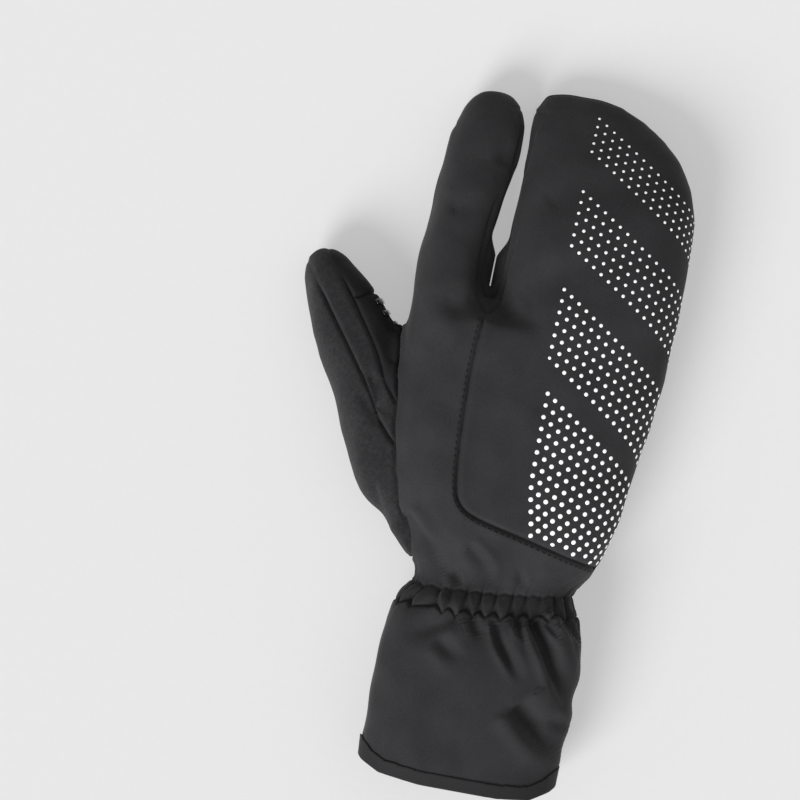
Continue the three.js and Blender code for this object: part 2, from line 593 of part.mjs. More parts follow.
// A bar laid along a line on the underside of a skin
const caster = new THREE.Raycaster();
function laidUnder(skinBody, points, width) {
  const target = new THREE.Mesh(geometryOf(skinBody));
  const line = new THREE.CatmullRomCurve3(points.map(([x, y]) => new THREE.Vector3(x, y, 0)));
  const steps = Math.max(2, Math.round(line.getLength() / BAR_STEP));
  const rings = Array.from({ length: steps + 1 }, (_, step) => {
    const spot = line.getPointAt(step / steps);
    const run = line.getTangentAt(step / steps);
    const reach = ((step === 0 || step === steps ? BAR_END : 1) * width) / 2;
    const edges = [-reach, reach].map((side) => {
      const from = new THREE.Vector3(spot.x - run.y * side, spot.y + run.x * side, -height(1));
      caster.set(from, new THREE.Vector3(0, 0, 1));
      const hit = caster.intersectObject(target)[0];
      const top = hit.point.clone().addScaledVector(hit.face.normal, EASE);
      return [top, hit.point.clone().addScaledVector(hit.face.normal, EASE + BAR_THICKNESS)];
    });
    return [edges[0][0], edges[1][0], edges[1][1], edges[0][1]];
  });
  return solid(tubeOf(rings));
}
const palmBars = PALM_BARS.map((bar) =>
  laidUnder(
    skinClear,
    [
      [across(bar.left), along(bar.leftAlong - bar.bend)],
      [across(bar.left + BAR_DROOP), along(bar.leftAlong)],
      [across(bar.right), along(bar.rightAlong)],
    ],
    bar.width,
  ),
);
const fingerBar = (bar) => {
  const rise = along(FINGER_BAR_RISE) * (bar.right - bar.left);
  const ends = [
    [across(bar.left), along(bar.along) - rise / 2],
    [across(bar.right), along(bar.along) + rise / 2],
  ];
  return laidUnder(skinClear, ends, bar.width);
};
const thenarSkin = handSmooth(patchTop + SEAM_GAP);
const thenarBars = THENAR_BARS.map((bar) => {
  const ends = [
    [across(bar.across - bar.length / 2), along(bar.along)],
    [across(bar.across + bar.length / 2), along(bar.along)],
  ];
  return laidUnder(thenarSkin, ends, bar.width);
});
const thumbBars = THUMB_BARS.map((bar) => {
  const line = [
    [across(bar.left), bar.along * THUMB_LENGTH],
    [across(bar.right), bar.along * THUMB_LENGTH],
  ];
  return thumbSkin.intersect(atThumb(prism(stroke(line, bar.width), -height(1), height(bar.high))));
});

// Panels of the thumb
const thumbLine = (table) => table.map((row) => [across(row.across), row.along * THUMB_LENGTH]);
const besideThumb = (table, shift) => atThumb(region(thumbLine(table), shift, [[FAR, -FAR], [FAR, FAR]]));
const thumbUnder = (lift) => below(height(THUMB_UNDER_SEAM) + lift);
const gripSide = thumbUnder(-half).add(besideThumb(THUMB_GRIP_SEAM, half));
const gripClear = thumbUnder(half).add(besideThumb(THUMB_GRIP_SEAM, -half));
const thumbTip = (grow) =>
  atThumb(
    prism([
      [-FAR, THUMB_TIP_ALONG * THUMB_LENGTH - grow],
      [FAR, THUMB_TIP_ALONG * THUMB_LENGTH - grow],
      [FAR, FAR],
      [-FAR, FAR],
    ]),
  );
const thumbGrip = thumbCloth.intersect(gripSide);
const thumbPalm = thumbGrip.subtract(thumbTip(SEAM_GAP));
const thumbTouchTip = thumbGrip.intersect(thumbTip(0));
const thumbTop = thumbCloth.subtract(gripClear);
const thumbSide = thumbTop.intersect(besideThumb(THUMB_BACK_SEAM, half));
const thumbBack = thumbTop.subtract(besideThumb(THUMB_BACK_SEAM, -half));

// Finishes
const finish = (color, roughness) => ({ color, roughness, metalness: 0 });
const SOFTSHELL = finish(0x2f2f31, 0.85);
const BRUSHED = finish(0x343436, 0.95);
const PALM_CLOTH = finish(0x29292b, 0.8);
const TRIM = finish(0x1c1c1e, 0.7);
const LOOP_PILE = finish(0x222224, 0.95);
const SILICONE = finish(0x0b0b0c, 0.25);

const glove = new THREE.Group();
function add(name, body, look) {
  const mesh = new THREE.Mesh(geometryOf(body), new THREE.MeshStandardMaterial(look));
  mesh.name = name;
  glove.add(mesh);
}
add("back_shell", backShell, SOFTSHELL);
add("mitten_back", mittenBack, SOFTSHELL);
add("palm_panel", palmPanel, PALM_CLOTH);
add("index_touch_tip", indexTouchTip, PALM_CLOTH);
add("fourchette", fourchette, SOFTSHELL);
add("thumb_back", thumbBack, BRUSHED);
add("thumb_side", thumbSide, BRUSHED);
add("thumb_palm", thumbPalm, PALM_CLOTH);
add("thumb_touch_tip", thumbTouchTip, PALM_CLOTH);
add("cuff_palm", cuffPalm, SOFTSHELL);
add("cuff_gusset", cuffGusset, TRIM);
add("cuff_binding", cuffBinding, TRIM);
add("loop_patch", loopPatch, LOOP_PILE);
add("closing_strap", closingStrap, SOFTSHELL);
add("thenar_patch", thenarPatch, PALM_CLOTH);
palmBars.forEach((bar, i) => add(`palm_bar_${i + 1}`, bar, SILICONE));
INDEX_BARS.map(fingerBar).forEach((bar, i) => add(`index_bar_${i + 1}`, bar, SILICONE));
MITTEN_BARS.map(fingerBar).forEach((bar, i) => add(`mitten_bar_${i + 1}`, bar, SILICONE));
thumbBars.forEach((bar, i) => add(`thumb_bar_${i + 1}`, bar, SILICONE));
thenarBars.forEach((bar, i) => add(`thenar_bar_${i + 1}`, bar, SILICONE));

const bounds = new THREE.Box3().setFromObject(glove);
const middle = bounds.getCenter(new THREE.Vector3());
glove.position.set(-middle.x, -middle.y, -bounds.min.z);
export default glove;
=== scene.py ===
# %% [markdown]
# # A three-finger winter glove, lying palm down
# The part is a padded glove of black softshell for the right hand. A first finger of its own, a thumb and one
# mitten pocket for the other fingers share a wrist that elastic draws in, and a long cuff.
# Every cloth panel of the CAD part is a stiff faceted wall. Here they become one soft skin, which is cut into
# its panels along the seams again, and then gets its folds, thread, printed grip and dots.

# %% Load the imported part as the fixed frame
import json
import math

import bmesh
import bpy
import numpy as np
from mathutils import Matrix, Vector
from mathutils.bvhtree import BVHTree

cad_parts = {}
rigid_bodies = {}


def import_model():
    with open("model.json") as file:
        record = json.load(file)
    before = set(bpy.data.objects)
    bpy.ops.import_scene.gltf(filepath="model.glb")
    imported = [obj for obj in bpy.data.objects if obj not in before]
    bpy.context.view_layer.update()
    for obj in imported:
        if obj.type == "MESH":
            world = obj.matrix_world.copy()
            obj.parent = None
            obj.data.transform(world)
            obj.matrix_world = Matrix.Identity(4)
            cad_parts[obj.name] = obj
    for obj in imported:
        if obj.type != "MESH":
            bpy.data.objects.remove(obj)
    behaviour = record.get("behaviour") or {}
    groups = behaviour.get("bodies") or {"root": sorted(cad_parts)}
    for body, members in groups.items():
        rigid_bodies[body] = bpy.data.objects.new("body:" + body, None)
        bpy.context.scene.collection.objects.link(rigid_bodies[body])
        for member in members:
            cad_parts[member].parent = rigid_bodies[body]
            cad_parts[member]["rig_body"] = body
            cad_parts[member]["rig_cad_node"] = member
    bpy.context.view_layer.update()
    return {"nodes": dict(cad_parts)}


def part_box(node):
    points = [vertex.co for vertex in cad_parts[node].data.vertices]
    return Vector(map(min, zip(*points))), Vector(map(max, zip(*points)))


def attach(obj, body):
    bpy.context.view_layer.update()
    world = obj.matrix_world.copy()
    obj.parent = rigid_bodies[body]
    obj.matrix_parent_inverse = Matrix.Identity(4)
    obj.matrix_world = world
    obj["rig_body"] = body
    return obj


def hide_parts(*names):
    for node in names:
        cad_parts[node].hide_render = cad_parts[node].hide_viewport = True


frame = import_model()

# %% [markdown]
# ## The camera
# The glove was photographed from right above its back, leaning a little clockwise. A long lens from two
# metres keeps the cuff and the fingertips at the same scale, as in the photograph.

# %% Camera
VIEW_MIDDLE = (-0.0317, 0.0085)  # metres in the frame
VIEW_WIDTH = 0.3556
VIEW_HEIGHT = 0.026  # level of the glove's outline
LENS, SENSOR = 200, 36
LEAN = math.radians(10.4)
distance = VIEW_WIDTH * LENS / SENSOR
bpy.ops.object.select_all(action="DESELECT")
bpy.ops.object.camera_add(location=(*VIEW_MIDDLE, VIEW_HEIGHT + distance), rotation=(0, 0, LEAN))
camera = bpy.context.object
camera.data.lens = LENS
camera.data.sensor_width = SENSOR
camera.data.clip_end = 10
bpy.context.scene.camera = camera
print("camera", round(distance, 3), "m above the glove")

# %% [markdown]
# ## The glove's own millimetres
# Seams and folds are measured from the glove's long axis and the hem of its cuff, in millimetres. The closing
# strap's two straight edges lie at known places there, so its box in the CAD part ties the two systems.

# %% Measures of the glove
HAND_WIDTH, GLOVE_LENGTH, HAND_DEPTH = 118, 310, 52
THUMB_LENGTH, THUMB_LEAN = 147, math.radians(24.5)
STRAP_RIGHT, STRAP_LOW = 0.335, 0.02  # shares of width and length
strap_low, strap_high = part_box("closing_strap")
ORIGIN = np.array(
    [strap_high.x * 1000 - STRAP_RIGHT * HAND_WIDTH, strap_low.y * 1000 - STRAP_LOW * GLOVE_LENGTH, 0]
)


def to_glove(points):
    """Frame metres to the glove's own millimetres."""
    return np.asarray(points) * 1000 - ORIGIN


def to_frame(points):
    """The glove's own millimetres to frame metres."""
    return (np.asarray(points) + ORIGIN) / 1000


print("glove's zero is at", np.round(to_frame([0, 0, 0]), 4))

# %% [markdown]
# ## Lines on the glove
# A seam is a smooth line through a few points. How far each point of the skin lies beside such a line says
# which panel it belongs to, how deep the seam draws it in, and where the thread runs.


# %% Lines
def fine_line(points, step=1.5):
    """A smooth line through a few points, with a point at least every step millimetres."""
    points = np.array(points, float)
    points = np.vstack([2 * points[0] - points[1], points, 2 * points[-1] - points[-2]])
    made = []
    for before, start, end, after in zip(points[:-3], points[1:-2], points[2:-1], points[3:]):
        count = max(2, int(np.linalg.norm(end - start) / step))
        t = np.linspace(0, 1, count, endpoint=False)[:, None]
        made.append(
            0.5
            * (
                2 * start
                + (end - before) * t
                + (2 * before - 5 * start + 4 * end - after) * t**2
                + (3 * start - before - 3 * end + after) * t**3
            )
        )
    made.append(points[-2:-1])
    return np.vstack(made)


def beside(points, line, reach=1e9):
    """How far each point lies to the left of a line, and its share along it. Past the reach it is only far."""
    apart = np.full(len(points), 1e3)
    share = np.zeros(len(points))
    low, high = line.min(0) - reach, line.max(0) + reach
    near = np.flatnonzero(((points > low) & (points < high)).all(1))
    run = np.gradient(line, axis=0)
    run /= np.linalg.norm(run, axis=1)[:, None]
    for chunk in np.array_split(near, max(1, len(near) // 8000)):
        gap = points[chunk]
        nearest = ((gap[:, None] - line[None]) ** 2).sum(2).argmin(1)
        gap = gap - line[nearest]
        along = run[nearest]
        side = along[:, 0] * gap[:, 1] - along[:, 1] * gap[:, 0]
        past = (nearest == 0) | (nearest == len(line) - 1)
        apart[chunk] = np.where(past, np.linalg.norm(gap, axis=1) * np.where(side < 0, -1, 1), side)
        share[chunk] = nearest / (len(line) - 1)
    return apart, share


def ramp(values, low, high):
    """0 below low, 1 above high and smooth between."""
    t = np.clip((np.asarray(values, float) - low) / (high - low), 0, 1)
    return t * t * (3 - 2 * t)


def shares(rows):
    """Shares of the glove's width and length as millimetres."""
    return [(a * HAND_WIDTH, b * GLOVE_LENGTH) for a, b in rows]


BACK_SEAM = fine_line(
    shares(
        [
            (-0.18, 1.1), (-0.18, 0.93), (-0.188, 0.84), (-0.205, 0.78), (-0.215, 0.72), (-0.218, 0.66),
            (-0.23, 0.585), (-0.224, 0.488), (-0.21, 0.42), (-0.186, 0.389), (-0.113, 0.371), (0.083, 0.353),
            (0.345, 0.33), (0.6, 0.318),
        ]
    )
)
PALM_SEAM = fine_line(
    shares([(-0.6, 0.262), (-0.36, 0.266), (-0.167, 0.281), (0.03, 0.274), (0.26, 0.288), (0.6, 0.3)])
)
SIDE_SEAM = np.array([(-0.1, 0.48), (0.28, 0.42), (0.4, 0.46), (0.68, 0.46), (0.86, 0.34), (0.96, 0.25), (1.1, 0.16)])
HEM = np.array(
    [(-0.45, 0.03), (-0.37, 0.004), (-0.3, -0.008), (-0.15, -0.014), (0.15, -0.014), (0.27, -0.009), (0.34, 0.006),
     (0.42, 0.034)]
)


def side_height(y):
    """Height of the seam between back and palm, all along the glove."""
    return np.interp(y, SIDE_SEAM[:, 0] * GLOVE_LENGTH, SIDE_SEAM[:, 1] * HAND_DEPTH)


def above_hem(points):
    """How far a point lies above the curved hem."""
    return points[:, 1] - np.interp(points[:, 0], HEM[:, 0] * HAND_WIDTH, HEM[:, 1] * GLOVE_LENGTH)


def thumb_place(points):
    """Where points lie across and along the thumb, from its root."""
    x, y = (points[:, 0] + 0.339 * HAND_WIDTH), (points[:, 1] - 0.282 * GLOVE_LENGTH)
    cos, sin = math.cos(THUMB_LEAN), math.sin(THUMB_LEAN)
    return np.column_stack([x * cos + y * sin, -x * sin + y * cos, points[:, 2]])


def from_thumb(points):
    """The way back from the thumb's own place to the glove's."""
    points = np.asarray(points, float)
    cos, sin = math.cos(THUMB_LEAN), math.sin(THUMB_LEAN)
    x = points[:, 0] * cos - points[:, 1] * sin - 0.339 * HAND_WIDTH
    y = points[:, 0] * sin + points[:, 1] * cos + 0.282 * GLOVE_LENGTH
    return np.column_stack([x, y, *points.T[2:]])


def thumb_line(rows):
    return fine_line([(a * HAND_WIDTH, b * THUMB_LENGTH) for a, b in rows])


THUMB_BACK_SEAM = thumb_line([(-0.09, 1.1), (-0.065, 0.93), (0.019, 0.6), (0.06, 0.4), (0.2, 0.15), (0.3, -0.2)])
THUMB_GRIP_SEAM = thumb_line([(-0.02, 1.1), (0.02, 0.96), (0.088, 0.7), (0.1, 0.56), (0.13, 0.38), (0.16, -0.2)])
THUMB_UNDER, THUMB_TIP, INDEX_TIP = 0.2 * HAND_DEPTH, 0.83 * THUMB_LENGTH, 0.922 * GLOVE_LENGTH
print("seams", len(BACK_SEAM), len(PALM_SEAM), len(THUMB_BACK_SEAM), "points")

# %% [markdown]
# ## Working on a mesh by its points
# Soft forms are shaped by moving thousands of points at once, so a few helpers read and write a mesh as a table
# of points. Everything is deselected before an operator works on one piece, because the loaded CAD nodes are
# selected at first.


# %% Mesh helpers
def only(piece):
    """Selects one piece and nothing else."""
    bpy.ops.object.select_all(action="DESELECT")
    piece.select_set(True)
    bpy.context.view_layer.objects.active = piece
    return piece


def points_of(piece):
    flat = np.empty(len(piece.data.vertices) * 3)
    piece.data.vertices.foreach_get("co", flat)
    return flat.reshape(-1, 3)


def move_points(piece, points):
    piece.data.vertices.foreach_set("co", np.asarray(points, float).ravel())
    piece.data.update()


def normals_of(piece):
    flat = np.empty(len(piece.data.vertices) * 3, np.float32)
    piece.data.vertex_normals.foreach_get("vector", flat)
    return flat.reshape(-1, 3).astype(float)


def edges_of(piece):
    flat = np.empty(len(piece.data.edges) * 2, np.int32)
    piece.data.edges.foreach_get("vertices", flat)
    return flat.reshape(-1, 2)


def smoothed(points, edges, times, swell=0.52):
    """Evens a surface out without shrinking it: each step in is followed by a step out."""
    count = len(points)
    ends = np.concatenate([edges[:, 0], edges[:, 1]])
    others = np.concatenate([edges[:, 1], edges[:, 0]])
    degree = np.maximum(np.bincount(ends, minlength=count), 1)[:, None]
    for _ in range(times):
        for step in (0.5, -swell):
            mean = np.column_stack([np.bincount(ends, points[others, axis], count) for axis in range(3)]) / degree
            points = points + step * (mean - points)
    return points


def averaged(values, edges, times):
    """Each value becomes the mean of itself and its neighbours, again and again."""
    values = np.asarray(values, float)
    flat = values.reshape(len(values), -1)
    degree = np.bincount(edges.ravel(), minlength=len(values))[:, None] + 1
    for _ in range(times):
        total = flat.copy()
        for axis in range(flat.shape[1]):
            total[:, axis] += np.bincount(edges[:, 0], flat[edges[:, 1], axis], len(values))
            total[:, axis] += np.bincount(edges[:, 1], flat[edges[:, 0], axis], len(values))
        flat = total / degree
    return flat.reshape(values.shape)


def new_piece(name, points, faces):
    """A piece from points in the glove's millimetres."""
    mesh = bpy.data.meshes.new(name)
    mesh.from_pydata(to_frame(points).tolist(), [], [list(map(int, face)) for face in faces])
    mesh.update()
    piece = bpy.data.objects.new(name, mesh)
    bpy.context.scene.collection.objects.link(piece)
    return piece


def cad_copy(name, nodes):
    """The merged meshes of some CAD nodes as one new object."""
    bpy.ops.object.select_all(action="DESELECT")
    for node in nodes:
        piece = frame["nodes"][node].copy()
        piece.data = frame["nodes"][node].data.copy()
        piece.parent = None
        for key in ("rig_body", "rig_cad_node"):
            del piece[key]
        bpy.context.scene.collection.objects.link(piece)
        piece.select_set(True)
        bpy.context.view_layer.objects.active = piece
    if len(nodes) > 1:
        bpy.ops.object.join()
    piece = bpy.context.object
    piece.name = piece.data.name = name
    bpy.ops.object.mode_set(mode="EDIT")
    bpy.ops.mesh.select_all(action="SELECT")
    bpy.ops.mesh.remove_doubles(threshold=1e-5)
    bpy.ops.object.mode_set(mode="OBJECT")
    piece.data.materials.clear()
    return piece


def remesh(piece, voxel):
    """Even quads of one size all over a piece, in millimetres."""
    only(piece)
    piece.data.remesh_voxel_size = voxel / 1000
    bpy.ops.object.voxel_remesh()
    return piece


def tree_of(piece):
    return BVHTree.FromObject(piece, bpy.context.evaluated_depsgraph_get())


def apart_from(points, tree):
    """How far each frame point lies from a surface, in millimetres."""
    return np.array([tree.find_nearest(Vector(point))[3] for point in points]) * 1000


# %% [markdown]
# ## One skin from the stiff panels
# A real glove's panels pull at each other through their seams, so a soft shape starts from all of them joined.
# The copies are swollen by 0.2 mm to close the seam gaps, and remeshed as one body with a hollow. Cut open at
# the hem, that body falls into an outer skin and a lining.

# %% Outer skin and lining
THUMB_NODES = ["thumb_back", "thumb_side", "thumb_palm", "thumb_touch_tip"]
HAND_NODES = [
    "back_shell", "mitten_back", "palm_panel", "index_touch_tip", "fourchette", "cuff_palm", "cuff_gusset",
]
WALL_VOXEL = 1.4
SWELL = 0.2
HEM_CUT = 1.6

thumb_copy = cad_copy("thumb_measure", THUMB_NODES)
hand_copy = cad_copy("hand_measure", HAND_NODES)
thumb_tree, hand_tree = tree_of(thumb_copy), tree_of(hand_copy)
body = cad_copy("glove_body", HAND_NODES + THUMB_NODES)
cad_tree = tree_of(body)
move_points(body, points_of(body) + normals_of(body) * SWELL / 1000)
remesh(body, WALL_VOXEL)
rim = above_hem(to_glove(points_of(body))) < HEM_CUT
bpy.ops.object.mode_set(mode="EDIT")
bpy.ops.mesh.select_all(action="DESELECT")
bpy.ops.object.mode_set(mode="OBJECT")
body.data.vertices.foreach_set("select", rim)
bpy.ops.object.mode_set(mode="EDIT")
bpy.ops.mesh.delete(type="VERT")
bpy.ops.mesh.select_all(action="SELECT")
bpy.ops.mesh.separate(type="LOOSE")
bpy.ops.object.mode_set(mode="OBJECT")
parts = sorted(bpy.context.selected_objects, key=lambda piece: np.ptp(points_of(piece), axis=0).prod(), reverse=True)
skin, lining = parts[:2]
for piece in parts[2:]:
    bpy.data.objects.remove(piece)
skin.name, lining.name = "skin", "lining"
print("skin", len(skin.data.vertices), "lining", len(lining.data.vertices), "points,", len(parts), "parts")

# %% [markdown]
# ## Rounding the skin
# The skin is closed again past its hem, and remeshed into quads about 4 mm wide, the size that a cloth
# simulation moves quickly. The two fingers would grow together across their narrow slot, so they are spread
# for that step and put back after it. Smoothing then takes the facets away.

# %% Coarse skin
COARSE_VOXEL = 4.2
SLOT_LINE = fine_line(
    [(-25.4, 180), (-25.4, 206), (-25.2, 225), (-24.4, 245), (-21.8, 262), (-21.6, 285), (-21.6, 330)]
)
SLOT_START, SPREAD, HEM_SPARE = 206, 10, 12
REACH = 2.5  # millimetres


def spread_of(y):
    """How far the first finger is moved aside at a distance from the hem."""
    return SPREAD * ramp(y, SLOT_START + 4, SLOT_START + 50)


def is_index(points, shift):
    """Which points are on the first finger's side of the slot."""
    middle = np.interp(points[:, 1], SLOT_LINE[:, 1], SLOT_LINE[:, 0])
    return (points[:, 0] < middle - shift / 2) & (points[:, 1] > SLOT_START)


form = bmesh.new()
form.from_mesh(skin.data)
mouth = [edge for edge in form.edges if edge.is_boundary]
grown = bmesh.ops.extrude_edge_only(form, edges=mouth)["geom"]
ends = [vert for vert in grown if isinstance(vert, bmesh.types.BMVert)]
bmesh.ops.translate(form, vec=(0, -HEM_SPARE / 1000, 0), verts=ends)
bmesh.ops.holes_fill(form, edges=[edge for edge in form.edges if edge.is_boundary], sides=0)
bmesh.ops.recalc_face_normals(form, faces=form.faces)
form.to_mesh(skin.data)
form.free()
points = to_glove(points_of(skin))
points[:, 0] -= is_index(points, 0) * spread_of(points[:, 1])
move_points(skin, to_frame(points))
remesh(skin, COARSE_VOXEL)
points = to_glove(points_of(skin))
points = smoothed(points, edges_of(skin), 7)
points[:, 0] += is_index(points, spread_of(points[:, 1])) * spread_of(points[:, 1])
move_points(skin, to_frame(points))
# Smoothing draws round edges in, so each point goes back out to the level of the CAD wall
short = np.zeros(len(points))
for number, (point, normal) in enumerate(zip(points_of(skin), normals_of(skin))):
    nearest, _, _, gap = cad_tree.find_nearest(Vector(point))
    if gap < REACH / 1000:
        short[number] = np.dot(np.array(nearest) - point, normal) * 1000
short = averaged(short, edges_of(skin), 2)
points += normals_of(skin) * (1.15 * short)[:, None]
move_points(skin, to_frame(points))
print("coarse skin", len(skin.data.vertices), "points, drawn in by", round(float(short.max()), 2), "mm before")

# %% [markdown]
# ## Seams that hold, cloth that fills
# Padding pushes the cloth of a winter glove outwards, and the seams hold it back. Blender's Cloth does the same:
# points near a seam, in the gathers and along the hem are pinned, and a light pressure fills the panels between
# them. No point may move further than a millimetre and a half, because the size is the CAD part's.

# %% Distance to every seam
GUSSET_LEFT, GUSSET_RIGHT, GUSSET_TOP = 0.235 * HAND_WIDTH, 0.33 * HAND_WIDTH, 0.165 * GLOVE_LENGTH
SLOT_ACROSS, SLOT_ALONG = (-36.6, -11.8), (195.3, 297.6)  # the plan of the strip in the finger slot
INDEX_RIGHT = -21.2  # the index finger's tip ends here, and the mitten begins
THUMB_REACH = (-100, -25), (60, 235)  # where the thumb can meet the hand, across and along


def gusset_edge(points):
    """Above 0 inside the arch of the slit in the cuff."""
    radius = (GUSSET_RIGHT - GUSSET_LEFT) / 2
    middle = (GUSSET_LEFT + GUSSET_RIGHT) / 2
    over = np.maximum(points[:, 1] - (GUSSET_TOP - radius), 0)
    return radius - np.hypot(points[:, 0] - middle, over)


def seam_fields(points):
    """The signed distance to each seam, with points in the glove's millimetres."""
    at_thumb = thumb_place(points)
    on_thumb = np.where(points[:, 0] < -45, 20.0, -20.0)
    x, y = points[:, 0], points[:, 1]
    (left, right), (low, high) = THUMB_REACH
    between = np.flatnonzero((x > left) & (x < right) & (y > low) & (y < high))
    metres = to_frame(points[between])
    on_thumb[between] = apart_from(metres, hand_tree) - apart_from(metres, thumb_tree)
    on_thumb[(y <= low) | (y >= high)] = -20
    slot_band = 0.12 * HAND_DEPTH - np.abs(points[:, 2] - side_height(points[:, 1]))
    across_slot = np.minimum(x - SLOT_ACROSS[0], SLOT_ACROSS[1] - x)
    along_slot = np.minimum(y - SLOT_ALONG[0], SLOT_ALONG[1] - y)
    return {
        "thumb": on_thumb,
        "side": points[:, 2] - side_height(points[:, 1]),
        "slot": np.minimum(slot_band, np.minimum(across_slot, along_slot)),
        "back": beside(points[:, :2], BACK_SEAM)[0],
        "palm": beside(points[:, :2], PALM_SEAM)[0],
        "index_tip": np.minimum(y - INDEX_TIP, INDEX_RIGHT - x),
        "gusset": gusset_edge(points),
        "thumb_back": beside(at_thumb[:, :2], THUMB_BACK_SEAM)[0],
        "thumb_grip": np.maximum(beside(at_thumb[:, :2], THUMB_GRIP_SEAM)[0], THUMB_UNDER - points[:, 2]),
        "thumb_tip": at_thumb[:, 1] - THUMB_TIP,
    }


def near_seams(points, fields, width):
    """1 on a seam and 0 a few widths away from it, for the seams that lie on that part of the glove."""
    on_thumb = ramp(fields["thumb"], -1, 1)
    on_back = ramp(fields["side"], -2, 2) * (1 - on_thumb)
    on_palm = (1 - ramp(fields["side"], -2, 2)) * (1 - on_thumb)
    on_top = 1 - ramp(fields["thumb_grip"], -1, 1)
    out_of_slot = 1 - ramp(fields["slot"], -3, -1)
    pull = {
        "thumb": 1,
        "side": (1 - on_thumb) * out_of_slot,
        "slot": 1 - on_thumb,
        "back": on_back * (1 - ramp(points[:, 1], 201, 205)),
        "palm": on_palm,
        "index_tip": on_palm * 0.6,
        "gusset": on_palm,
        "thumb_grip": on_thumb,
        "thumb_back": on_thumb * on_top,
        "thumb_tip": on_thumb * (1 - on_top) * 0.6,
    }
    at_tips = np.maximum(ramp(points[:, 1], 278, 292), ramp(thumb_place(points)[:, 1], 124, 136) * on_thumb)
    pull = {name: share * (1 - 0.8 * at_tips) for name, share in pull.items()}
    held = np.zeros(len(points))
    for name, share in pull.items():
        held = np.maximum(held, share * np.exp(-((fields[name] / width) ** 2)))
    return held


# %% Cloth simulation
PRESSURE = 12
PUFF_FRAMES = 20
PUFF_LIMIT = 1.5
SEWN_WIDTH = 3
HEM_SEWN, FLOOR_SEWN = 8, 1.2  # pinned below these, along the glove and in height
GATHERS_SEWN = 79, 14  # middle and half width of the pinned band at the wrist

points = to_glove(points_of(skin))
fields = seam_fields(points)
held = near_seams(points, fields, SEWN_WIDTH) > 0.3
held |= (points[:, 1] < HEM_SEWN) | (points[:, 2] < FLOOR_SEWN)
held |= np.abs(points[:, 1] - GATHERS_SEWN[0]) < GATHERS_SEWN[1]
print("sewn down", int(held.sum()), "of", len(held), "points")
only(skin)
sewn = skin.vertex_groups.new(name="sewn")
sewn.add([int(i) for i in np.flatnonzero(held)], 1, "REPLACE")
cloth = skin.modifiers.new("Cloth", "CLOTH")
cloth.settings.use_pressure = True
cloth.settings.uniform_pressure_force = PRESSURE
cloth.settings.vertex_group_mass = "sewn"
cloth.settings.effector_weights.gravity = 0
cloth.settings.quality = 4
cloth.point_cache.frame_end = PUFF_FRAMES
for number in range(1, PUFF_FRAMES + 1):
    bpy.context.scene.frame_set(number)
bpy.ops.object.modifier_apply(modifier="Cloth")
moved = to_glove(points_of(skin)) - points
length = np.linalg.norm(moved, axis=1)
moved *= (np.minimum(length, PUFF_LIMIT) / np.maximum(length, 1e-9))[:, None]
points = points + smoothed(moved, edges_of(skin), 2)
move_points(skin, to_frame(points))
skin.vertex_groups.clear()
bpy.context.scene.frame_set(1)
print("cloth moved by", round(float(length.mean()), 2), "mm, at most", round(float(length.max()), 2))

# %% [markdown]
# ## Fine skin
# Two levels of Subdivision Surface make quads of 1 mm, and the gathers and seams get one more, because their
# creases are sharp.

# %% Subdivide
GATHER_BAND = (64, 96)
SLOT_RIM = fine_line(
    [(-27.5, 262), (-30.2, 251), (-31.4, 235.6), (-31.2, 218.4), (-29.6, 210), (-25.4, 205.4), (-21.2, 209.4),
     (-19.8, 220), (-18.8, 233.3), (-17.6, 246)]
)
FURROW = 2  # width of the finer strip along each side of a seam


def refine(piece, chosen):
    """Halves the faces between the chosen points."""
    form = bmesh.new()
    form.from_mesh(piece.data)
    form.verts.ensure_lookup_table()
    edges = [edge for edge in form.edges if chosen[edge.verts[0].index] and chosen[edge.verts[1].index]]
    bmesh.ops.subdivide_edges(form, edges=edges, cuts=1, use_grid_fill=True)
    form.to_mesh(piece.data)
    form.free()


only(skin)
fine = skin.modifiers.new("fine", "SUBSURF")
fine.levels = fine.render_levels = 2
bpy.ops.object.modifier_apply(modifier="fine")
points = to_glove(points_of(skin))
fields = seam_fields(points)
chosen = near_seams(points, fields, FURROW) > 0.3
chosen |= np.abs(beside(points[:, :2], SLOT_RIM, 3)[0]) < 2.2
chosen |= (points[:, 1] > GATHER_BAND[0]) & (points[:, 1] < GATHER_BAND[1])
chosen &= above_hem(points) > 0
refine(skin, chosen)
print("fine skin", len(skin.data.vertices), "points")

# %% [markdown]
# ## Gathers and folds
# Two rows of elastic thread draw the wrist in. Between the rows the pleats change places, so that they make a
# zigzag. Above and below they run out into folds, short on the left and long on the right, where the cuff
# leans over. Wider folds and dents are single lines with a depth and a width of their own.

# %% Shape of a gather
GATHER_LINE = np.array([(-60, 77.2), (-36.9, 77.5), (-22.3, 77.3), (0, 78.6), (22, 81.4), (37.2, 83.2), (60, 85)])
CHANNEL = 4.7  # millimetres from the middle of the channel to either row of elastic
PITCH = 6.6
WRIST_MIDDLE, WRIST_WIDTH, WRIST_HEIGHT = (0.4, 22.9), 37.5, 17
turn = np.linspace(-np.pi, np.pi, 721)
stretch = np.hypot(WRIST_WIDTH * np.sin(turn), WRIST_HEIGHT * np.cos(turn))
around = np.concatenate([[0], np.cumsum((stretch[1:] + stretch[:-1]) / 2 * np.diff(turn))])
GATHERS = round(around[-1] / PITCH)


